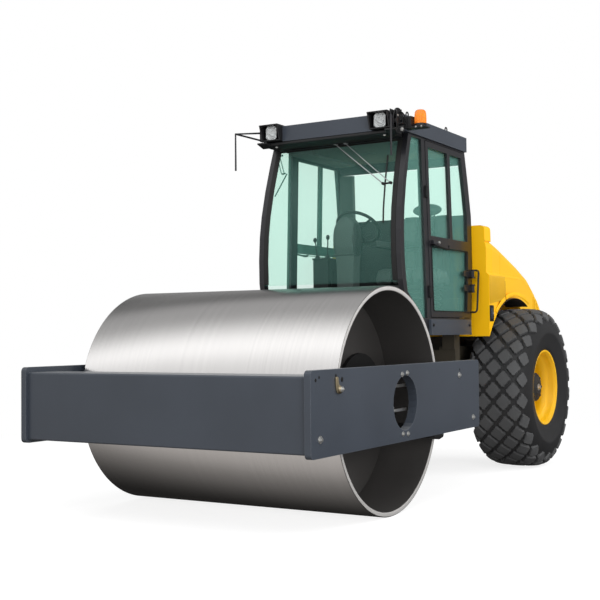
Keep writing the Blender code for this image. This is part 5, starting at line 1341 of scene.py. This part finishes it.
@dataclass
class Interior:
    """What is seen through the glass: seat, instrument pod, steering wheel, levers and linings."""

    hub: tuple[float, float, float] = (0.010, -0.1758, 2.1631)
    tilt: tuple[float, float, float] = (0.0, 0.6316, 0.7753)
    ring: float = 0.190
    tube: float = 0.0148

    def build(self) -> None:
        """Make the interior pieces."""
        self._pod()
        self._steering_wheel()
        self._seat_frame()
        self._cushion("seat_cushion", (0.073, 0.567), (0.040, 0.512), (1.700, 1.838))
        self._cushion("seat_backrest", (0.093, 0.547), (0.0, 0.0), (1.790, 2.335), leaning=True)
        self._side_box()
        self._levers()
        self._linings()

    def _pod(self) -> None:
        """Shape the rounded instrument pod on its column."""
        low, high, middle = 1.937, 2.263, 0.010
        rings = []
        for k in range(15):
            t = k / 14
            z = low + (high - low) * (1 - cos(pi * t)) / 2
            share = min(1.0, max(0.0, (z - 2.05) / (high - 2.05)))
            half = 0.1135 * (1.0 - 0.12 * max(0.0, (2.02 - z) / 0.08)) * sqrt(max(0.0, 1.0 - share ** 3.2)) + 0.0005
            front = -0.437 + 0.045 * share ** 3 + 0.018 * max(0.0, (2.0 - z) / 0.06)
            back = -0.274 - 0.025 * share ** 2 - 0.010 * max(0.0, (2.0 - z) / 0.06)
            ring = []
            for i in range(32):
                a = 2 * pi * i / 32
                c, s = cos(a), sin(a)
                ring.append((middle + half * copysign(abs(c) ** 0.55, c),
                             (front + back) / 2 + (back - front) / 2 * copysign(abs(s) ** 0.45, s), z))
            rings.append(ring)
        sketch = Sketch(CONSOLE_PLASTIC, BLACK_PLASTIC)
        sketch.loft(rings)
        sketch.loft([[(middle + x * w, -0.347 + y * d, z) for x, y in ((-1, -1), (-0.4, -1.15), (0.4, -1.15), (1, -1), (1, 1),
                                                                       (-1, 1))]
                     for w, d, z in ((0.094, 0.066, 1.395), (0.088, 0.064, 1.440), (0.074, 0.060, 1.600), (0.080, 0.060, 1.850),
                                     (0.092, 0.062, 1.950))])
        sketch.use(1).box((middle - 0.104, middle + 0.104), (-0.420, -0.280), (1.928, 1.940))
        # Faces on the pod's +X side take black plastic: painted shade on the side turned from the light.
        for face in sketch.bm.faces:
            if face.calc_center_median().x > middle + 0.088:
                face.material_index = 1
        sketch.box((middle - 0.080, middle + 0.080), (-0.276, -0.270), (1.985, 2.170))
        tilt = Vector(self.tilt)
        hub = Vector(self.hub)
        sketch.rod(hub - tilt * 0.165, hub - tilt * 0.020, 0.022, 20)
        sketch.turned([(0.0, 0.0), (0.034, 0.0), (0.026, 0.060), (0.0, 0.060)], 20, (middle, -0.287, 1.995), "Z")
        sketch.rod((middle - 0.060, -0.268, 2.100), (middle - 0.060, -0.2655, 2.100), 0.026, 24)
        sketch.rod((middle + 0.020, -0.268, 2.100), (middle + 0.020, -0.2655, 2.100), 0.026, 24)
        pod = sketch.done("instrument_pod", "rear_frame", bevel=0.002, angle=45)
        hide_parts("console")

    def _steering_wheel(self) -> None:
        """Turn the rim, spokes, hub and spinner knob of the steering wheel."""
        hub, tilt = Vector(self.hub), Vector(self.tilt)
        across = Vector((1.0, 0.0, 0.0))
        up = tilt.cross(across)
        centre = hub + tilt * 0.032
        steps, around = 64, 14
        sketch = Sketch(BLACK_PLASTIC, SEAT_VINYL)
        loops = []
        for k in range(steps):
            a = 2 * pi * k / steps
            out = across * cos(a) + up * sin(a)
            loops.append(sketch.ring([centre + out * (self.ring - 0.0005 + self.tube * 0.93 * (1 + 0.03 * cos(4 * a)) * cos(b))
                                      + tilt * self.tube * 0.93 * sin(b)
                                      for b in (2 * pi * j / around for j in range(around))]))
        for k in range(steps):
            near, far = loops[k], loops[(k + 1) % steps]
            for j in range(around):
                sketch.face((near[j], far[j], far[(j + 1) % around], near[(j + 1) % around]))
        for degrees in (90, 210, 330):
            a = radians(degrees)
            out = across * cos(a) + up * sin(a)
            sketch.tube([hub + tilt * 0.010 + out * 0.025, hub + tilt * 0.012 + out * 0.090, centre + out * 0.182], 0.0105, 10,
                        bend=0.03)
        sketch.rod(hub - tilt * 0.006, hub + tilt * 0.026, 0.038, 32, 0.030)
        sketch.rod(hub + tilt * 0.026, hub + tilt * 0.031, 0.026, 32, 0.022)
        wheel = sketch.done("steering_ring", "rear_frame", angle=45)
        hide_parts("steering_wheel")

    def _seat_frame(self) -> None:
        """Make the seat's base, bellows, shells, armrests and headrest."""
        sketch = Sketch(BLACK_PLASTIC, SEAT_VINYL, BLACK_PAINT)
        sketch.use(2).box((0.125, 0.515), (0.120, 0.490), (1.3005, 1.335))
        for k in range(6):
            low = 1.340 + 0.052 * k
            sketch.use(0).loft([[(x, y, z) for x, y in ((0.135 - g, 0.130 - g), (0.505 + g, 0.130 - g), (0.505 + g, 0.480 + g),
                                                        (0.135 - g, 0.480 + g))]
                                for z, g in ((low, -0.012), (low + 0.013, 0.006), (low + 0.030, 0.006), (low + 0.048, -0.012))])
        sketch.use(2).box((0.110, 0.530), (0.080, 0.505), (1.655, 1.690))
        sketch.box((0.085, 0.102), (0.420, 0.560), (1.700, 2.010))
        sketch.box((0.538, 0.555), (0.420, 0.560), (1.700, 2.010))
        sketch.use(0).prism([(0.552, 1.770), (0.576, 1.770), (0.653, 2.325), (0.640, 2.335)], 0.105, 0.535)
        sketch.rod((0.250, 0.605, 2.300), (0.250, 0.608, 2.350), 0.008, 12)
        sketch.rod((0.390, 0.605, 2.300), (0.390, 0.608, 2.350), 0.008, 12)
        seat = sketch.done("seat_frame", "rear_frame", bevel=0.004)
        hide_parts("seat")
        sketch = Sketch(SEAT_VINYL)
        for low, high in ((0.031, 0.099), (0.541, 0.609)):
            sketch.loft([[(low if i in (0, 3) else high, 0.020 + 0.570 * t, z) for i, z in enumerate((2.026 + 0.012 * sin(pi * t)
                                                                                                 * 0, 2.026, 2.083, 2.083))]
                         for t in (0.0, 0.25, 0.5, 0.75, 1.0)])
        sketch.ball((0.320, 0.610, 2.390), (0.143, 0.043, 0.057), 28)
        sketch.done("seat_rests", "rear_frame", bevel=0.016, segments=4, angle=50)

    def _cushion(self, name: str, x: Point, y: Point, z: Point, leaning: bool = False) -> None:
        """Fill one seat pad like a sewn cushion.

        Args:
            name: The piece's name.
            x: Its reach along X.
            y: Its reach along Y, unused for the leaning back pad.
            z: Its reach along Z.
            leaning: True for the back pad, which follows the backrest's slant.
        """
        thick = 0.050
        parts = [(0.0, 0.30), (0.32, 0.68), (0.70, 1.0)]
        sketch = Sketch(SEAT_VINYL)
        for a, b in parts:
            for c, d in ((0.0, 0.46), (0.49, 1.0)):
                x0, x1 = x[0] + (x[1] - x[0]) * a, x[0] + (x[1] - x[0]) * b
                rings = []
                count = 8
                for k in range(count + 1):
                    t = c + (d - c) * k / count
                    edge = min(1.0, 4.0 * sin(pi * min(1.0, max(0.0, k / count))) + 0.35)
                    if leaning:
                        zz = z[0] + (z[1] - z[0]) * t
                        slant = (zz - 1.78) * 0.1372
                        back, front = 0.566 + slant - 0.010 * (zz > 2.2), 0.566 + slant - 0.020 - (thick + 0.022) * edge
                        front = max(front, 0.458 + (zz - 1.78) * 0.193)
                        rings.append([(x0 + (x1 - x0) * u, front + (back - front) * v, zz) for u, v in
                                      ((0.0, 0.5), (0.08, 0.10), (0.5, -0.0), (0.92, 0.10), (1.0, 0.5), (0.9, 1.0), (0.1, 1.0))])
                    else:
                        yy = y[0] + (y[1] - y[0]) * t
                        top = z[0] + 0.040 + (z[1] - z[0] - 0.045) * edge
                        rings.append([(x0 + (x1 - x0) * u, yy, z[0] + (top - z[0]) * v) for u, v in
                                      ((0.0, 0.5), (0.08, 0.92), (0.5, 1.0), (0.92, 0.92), (1.0, 0.5), (0.94, 0.0), (0.06, 0.0))])
                sketch.loft(rings)
        pad = sketch.done(name, "rear_frame", bevel=0.0, angle=60)
        swell(pad, 4.0)

    def _side_box(self) -> None:
        """Stand the low electrical box beside the right door."""
        sketch = Sketch(BLACK_PLASTIC, BLACK_PAINT)
        sketch.box((-0.575, -0.420), (0.060, 0.480), (1.400, 1.940))
        sketch.box((-0.581, -0.414), (0.054, 0.486), (1.940, 1.956))
        sketch.use(1).box((-0.420, -0.414), (0.120, 0.420), (1.500, 1.850))
        sketch.done("side_box", "rear_frame", bevel=0.008, segments=3)

    def _levers(self) -> None:
        """Stand the control levers with their knobs beside the seat."""
        sketch = Sketch(BLACK_PAINT, BLACK_PLASTIC)
        for x, y, z, lean_x in ((-0.575, 0.100, 2.125, -0.020), (-0.440, 0.100, 2.145, 0.010)):
            sketch.use(0).rod((x - lean_x, y + 0.010, 1.954), (x, y, z), 0.006, 12)
            sketch.use(1).ball((x, y, z), (0.017, 0.017, 0.024), 16)
            sketch.turned([(0.0, 0.0), (0.030, 0.0), (0.022, 0.014), (0.016, 0.030), (0.0, 0.030)], 20,
                          (x - lean_x, y + 0.010, 1.955), "Z")
        for side in (-1, 1):
            sketch.use(0).rod((0.010 + side * 0.020, -0.250, 2.040), (0.010 + side * 0.150, -0.205, 2.110), 0.0045, 10)
            sketch.use(1).ball((0.010 + side * 0.150, -0.205, 2.110), (0.014, 0.010, 0.010), 14)
        sketch.done("levers", "rear_frame", angle=50)

    def _linings(self) -> None:
        """Line the roof and the right rear corner from inside, and lay the ribbed floor mat."""
        sketch = Sketch(HEADLINER, BLACK_PLASTIC)
        sketch.box((-0.600, 0.600), (-0.380, 0.640), (2.868, 2.882))
        for side in (-1, 1):
            sketch.box((side * 0.400, side * 0.585), (-0.300, 0.560), (2.846, 2.868))
        sketch.rod((0.0, 0.080, 2.860), (0.0, 0.080, 2.868), 0.060, 32)
        sketch.box((-0.560, -0.330), (-0.365, -0.330), (2.840, 2.868))
        sketch.done("headliner", "rear_frame", bevel=0.004)
        sketch = Sketch(HEADLINER)
        rows = []
        for z, wide in ((1.520, 0.170), (1.900, 0.162), (2.340, 0.150), (2.780, 0.130)):
            edge, back = 0.624 * lean(z), 0.700 if z > 2.3 else 0.690
            rows.append([(-edge, back, z), (wide - edge, back, z), (wide - 0.012 - edge, 0.668, z), (-edge, 0.640, z)])
        sketch.loft(rows).done("corner_lining", "rear_frame", bevel=0.004)
        sketch = Sketch(BLACK_PLASTIC)
        sketch.box((-0.600, 0.600), (0.655, 0.668), (1.302, 1.580))
        sketch.box((-0.585, 0.585), (-0.130, 0.655), (1.3005, 1.3045))
        for k in range(24):
            x = -0.575 + 0.050 * k
            sketch.box((x - 0.006, x + 0.006), (-0.120, 0.110), (1.3045, 1.3075))
        sketch.done("floor_mat", "rear_frame", bevel=0.001)


@dataclass
class Bodywork:
    """The yellow cowl and engine hood, with latches, panels and arch lips."""

    skin: float = 0.826
    axle: tuple[float, float] = (1.515, 0.745)

    def build(self) -> None:
        """Dress the body panels and add their fittings."""
        dress(("cowl", "hood", "hood_side_left", "hood_side_right", "hood_tail"), BODY_PAINT)
        dress(("hood_grille", "hood_hinge_left", "hood_hinge_right"), BLACK_PAINT)
        for side in (1, -1):
            self._side(side)

    def _side(self, side: int) -> None:
        """Add one side's ribbed panel, latch and seam.

        Args:
            side: 1 for the left side, -1 for the right.
        """
        mark = "left" if side > 0 else "right"

        def reach(low: float, high: float) -> tuple[float, float]:
            return tuple(sorted((side * (self.skin + low), side * (self.skin + high))))

        # The ribbed panel takes the darker copy of the body paint: painted shade.
        sketch = Sketch(SHADED_PANEL_PAINT)
        sketch.prism([(0.830, 1.528), (1.222, 1.575), (1.222, 1.788), (0.830, 1.788)], *reach(0.0004, 0.0034))
        for k in range(17):
            y = 0.845 + 0.0225 * k
            sketch.prism([(y - 0.004, 1.552 + 0.0026 * k), (y + 0.004, 1.553 + 0.0026 * k), (y + 0.004, 1.772),
                          (y - 0.004, 1.772)], *reach(0.0030, 0.0052))
        sketch.done("side_panel_" + mark, "rear_frame", bevel=0.0008)
        sketch = Sketch(SEAL_RUBBER, FRAME_PAINT, ZINC)
        sketch.box(reach(0.0004, 0.0030), (0.826, 0.925), (1.368, 1.514))
        sketch.prism([(1.226, 1.592), (1.233, 1.590), (1.2335, 1.745), (1.229, 1.750)], *reach(0.0004, 0.0012))
        sketch.use(1).box(reach(0.0030, 0.0140), (0.848, 0.868), (1.392, 1.490))
        sketch.box(reach(0.0028, 0.0120), (0.868, 0.900), (1.424, 1.456))
        sketch.use(2).rod((side * (self.skin + 0.010), 0.886, 1.440), (side * (self.skin + 0.015), 0.886, 1.440), 0.008, 16)
        sketch.done("latch_" + mark, "rear_frame", bevel=0.002)
        for name, body, (low, high), (start, end) in (("arch_lip_front_", "rear_frame", (109.2, 127), (109.8, 140)),
                                                      ("arch_lip_", "hood", (66, 107.8), (66, 108.2))):
            sketch = Sketch(BODY_PAINT, BLACK_PLASTIC)
            outer, inner = arc(self.axle, 0.908, low, high, 16), arc(self.axle, 0.868, low, high, 16)
            sketch.prism(outer + inner[::-1], *reach(0.0002, 0.0060))
            outer, inner = arc(self.axle, 0.8492, start, end, 16), arc(self.axle, 0.8440, start, end, 16)
            sketch.use(1).prism(outer + inner[::-1], *sorted((side * 0.600, side * 0.824)))
            sketch.done(name + mark, body, bevel=0.002)


# What gleams on metal, by the turn round the X axis: share of the turn, brightness as a share of the lamp strip
STRIP = ((0.00, 0.24), (0.06, 0.22), (0.09, 0.17), (0.135, 0.10), (0.15, 0.11), (0.18, 0.29), (0.21, 0.31), (0.235, 0.28),
         (0.256, 0.33), (0.279, 0.45), (0.297, 0.60), (0.317, 0.76), (0.334, 0.94), (0.350, 1.00), (0.372, 1.00),
         (0.388, 0.87), (0.402, 0.76), (0.435, 0.62), (0.526, 0.48), (0.632, 0.42), (0.68, 0.34), (0.709, 0.25),
         (0.730, 0.17), (0.760, 0.12), (0.790, 0.08), (0.816, 0.05), (0.865, 0.02), (0.909, 0.01), (1.0, 0.01))


@dataclass
class Studio:
    """The pale floor, the soft light and the camera at the photograph's viewing angle."""

    place: tuple[float, float, float] = (4.432, -8.4998, 1.2692)
    azimuth: float = 0.5416
    elevation: float = -0.0311
    roll: float = -0.0087
    focal: float = 1087.4
    picture: float = 600.0
    sensor: float = 36.0

    def build(self) -> None:
        """Set up the world, the lamps, the floor and the camera."""
        scene = bpy.context.scene
        scene.view_settings.view_transform = "Standard"
        self._world(scene)
        self._lamps()
        self._floor()
        self._camera(scene)

    def _world(self, scene: bpy.types.Scene) -> None:
        """Make a white surround that gleams from above the camera and darkens behind and below."""
        world = bpy.data.worlds.new("studio")
        scene.world = world
        world.use_nodes = True
        wiring = Wiring(world.node_tree)
        shine = world.node_tree.nodes["Background"]
        path = wiring.node("ShaderNodeLightPath")
        way = wiring.node("ShaderNodeTexCoord").outputs["Generated"]
        split = wiring.node("ShaderNodeSeparateXYZ", {0: way})
        turn = wiring.math("ARCTAN2", wiring.math("MULTIPLY", split.outputs[1], -1.0), split.outputs[2])
        share = wiring.math("FRACT", wiring.math("ADD", wiring.math("DIVIDE", turn, 2 * pi), 1.0 + 95.0 / 360.0))
        stops = [(place, (level, level * (1.0 - 0.05 * (place > 0.6)), level * (1.0 - 0.09 * (place > 0.6))))
                 for place, level in STRIP]
        soft = wiring.node("ShaderNodeBackground", {"Color": wiring.ramp(share, stops), "Strength": 1.28})
        fill = wiring.node("ShaderNodeBackground", {"Color": (1.0, 1.0, 1.0, 1.0), "Strength": 0.55})
        by_gloss = wiring.node("ShaderNodeMixShader", {0: path.outputs["Is Glossy Ray"], 1: fill.outputs[0],
                                                       2: soft.outputs[0]})
        shine.inputs["Color"].default_value = (1.0, 1.0, 1.0, 1.0)
        shine.inputs["Strength"].default_value = 1.0
        seen = wiring.math("MAXIMUM", path.outputs["Is Camera Ray"], path.outputs["Is Transmission Ray"])
        whole = wiring.node("ShaderNodeMixShader", {0: seen, 1: by_gloss.outputs[0], 2: shine.outputs[0]})
        wiring.tree.links.new(whole.outputs[0], world.node_tree.nodes["World Output"].inputs[0])

    def _lamps(self) -> None:
        """Hang the soft lamps round the machine."""
        for name, place, size, power in (("key", (2.5, -7.5, 8.0), 6.0, 420.0), ("side", (8.0, 5.0, 5.0), 6.0, 510.0),
                                         ("low", (7.5, -6.0, 2.0), 4.0, 300.0),
                                         ("back", (-5.0, 7.0, 7.0), 6.0, 240.0)):
            light = bpy.data.lights.new(name, "AREA")
            light.shape, light.size, light.energy = "SQUARE", size, power
            lamp = bpy.data.objects.new(name, light)
            lamp.location = place
            lamp.rotation_euler = (Vector((0, 0, 1)) - Vector(place)).to_track_quat("-Z", "Y").to_euler()
            lamp.visible_glossy = False
            bpy.context.scene.collection.objects.link(lamp)

    def _floor(self) -> None:
        """Lay a pale floor that shows white to the camera apart from the shadow on it."""
        half = 40.0
        mesh = bpy.data.meshes.new("floor")
        mesh.from_pydata([(-half, -half, -0.001), (half, -half, -0.001), (half, half, -0.001), (-half, half, -0.001)], [],
                         [(0, 1, 2, 3)])
        floor = bpy.data.objects.new("floor", mesh)
        bpy.context.scene.collection.objects.link(floor)
        made = bpy.data.materials.new("floor")
        made.use_nodes = True
        wiring = Wiring(made.node_tree)
        shader = made.node_tree.nodes["Principled BSDF"]
        shader.inputs["Base Color"].default_value = (0.34, 0.34, 0.34, 1.0)
        shader.inputs["Roughness"].default_value = 0.9
        shader.inputs["Specular IOR Level"].default_value = 0.0
        path = wiring.node("ShaderNodeLightPath")
        seen = wiring.math("MAXIMUM", path.outputs["Is Camera Ray"], path.outputs["Is Transmission Ray"])
        shader.inputs["Emission Color"].default_value = (1.0, 1.0, 1.0, 1.0)
        wiring.tree.links.new(wiring.math("MULTIPLY", seen, 0.80), shader.inputs["Emission Strength"])
        where = wiring.node("ShaderNodeTexCoord").outputs["Object"]
        reach = wiring.node("ShaderNodeVectorMath", {0: where}, operation="LENGTH").outputs["Value"]
        away = wiring.node("ShaderNodeMapRange", {"Value": reach, "From Min": 3.0, "From Max": 6.0})
        white = wiring.node("ShaderNodeEmission", {"Strength": seen})
        faded = wiring.node("ShaderNodeMixShader", {0: wiring.math("MULTIPLY", away.outputs[0], seen), 1: shader.outputs[0],
                                                    2: white.outputs[0]})
        wiring.tree.links.new(faded.outputs[0], made.node_tree.nodes["Material Output"].inputs["Surface"])
        mesh.materials.append(made)
        floor.visible_glossy = False

    def _camera(self, scene: bpy.types.Scene) -> None:
        """Stand the camera where the photograph was taken from."""
        a, e, r = self.azimuth, self.elevation, self.roll
        back = Vector((sin(a) * cos(e), -cos(a) * cos(e), sin(e)))
        right = Vector((cos(a), sin(a), 0.0))
        up = back.cross(right)
        across = right * cos(r) + up * sin(r)
        upright = up * cos(r) - right * sin(r)
        data = bpy.data.cameras.new("camera")
        data.sensor_width = self.sensor
        data.lens = self.focal / self.picture * self.sensor
        data.clip_end = 200.0
        camera = bpy.data.objects.new("camera", data)
        camera.matrix_world = Matrix.Translation(self.place) @ Matrix((across, upright, back)).transposed().to_4x4()
        scene.collection.objects.link(camera)
        scene.camera = camera


def main() -> None:
    """Build the sub-assemblies in order and report each piece."""
    logging.basicConfig(level=logging.INFO, format="%(message)s")
    for part in (Studio(), Drum(), DrumFrame(), Wheel(1), Wheel(-1), Chassis(), Cab(), Roof(), Interior(),
                 Bodywork()):
        LOG.info("building %s", type(part).__name__)
        part.build()


if __name__ == "__main__":
    main()
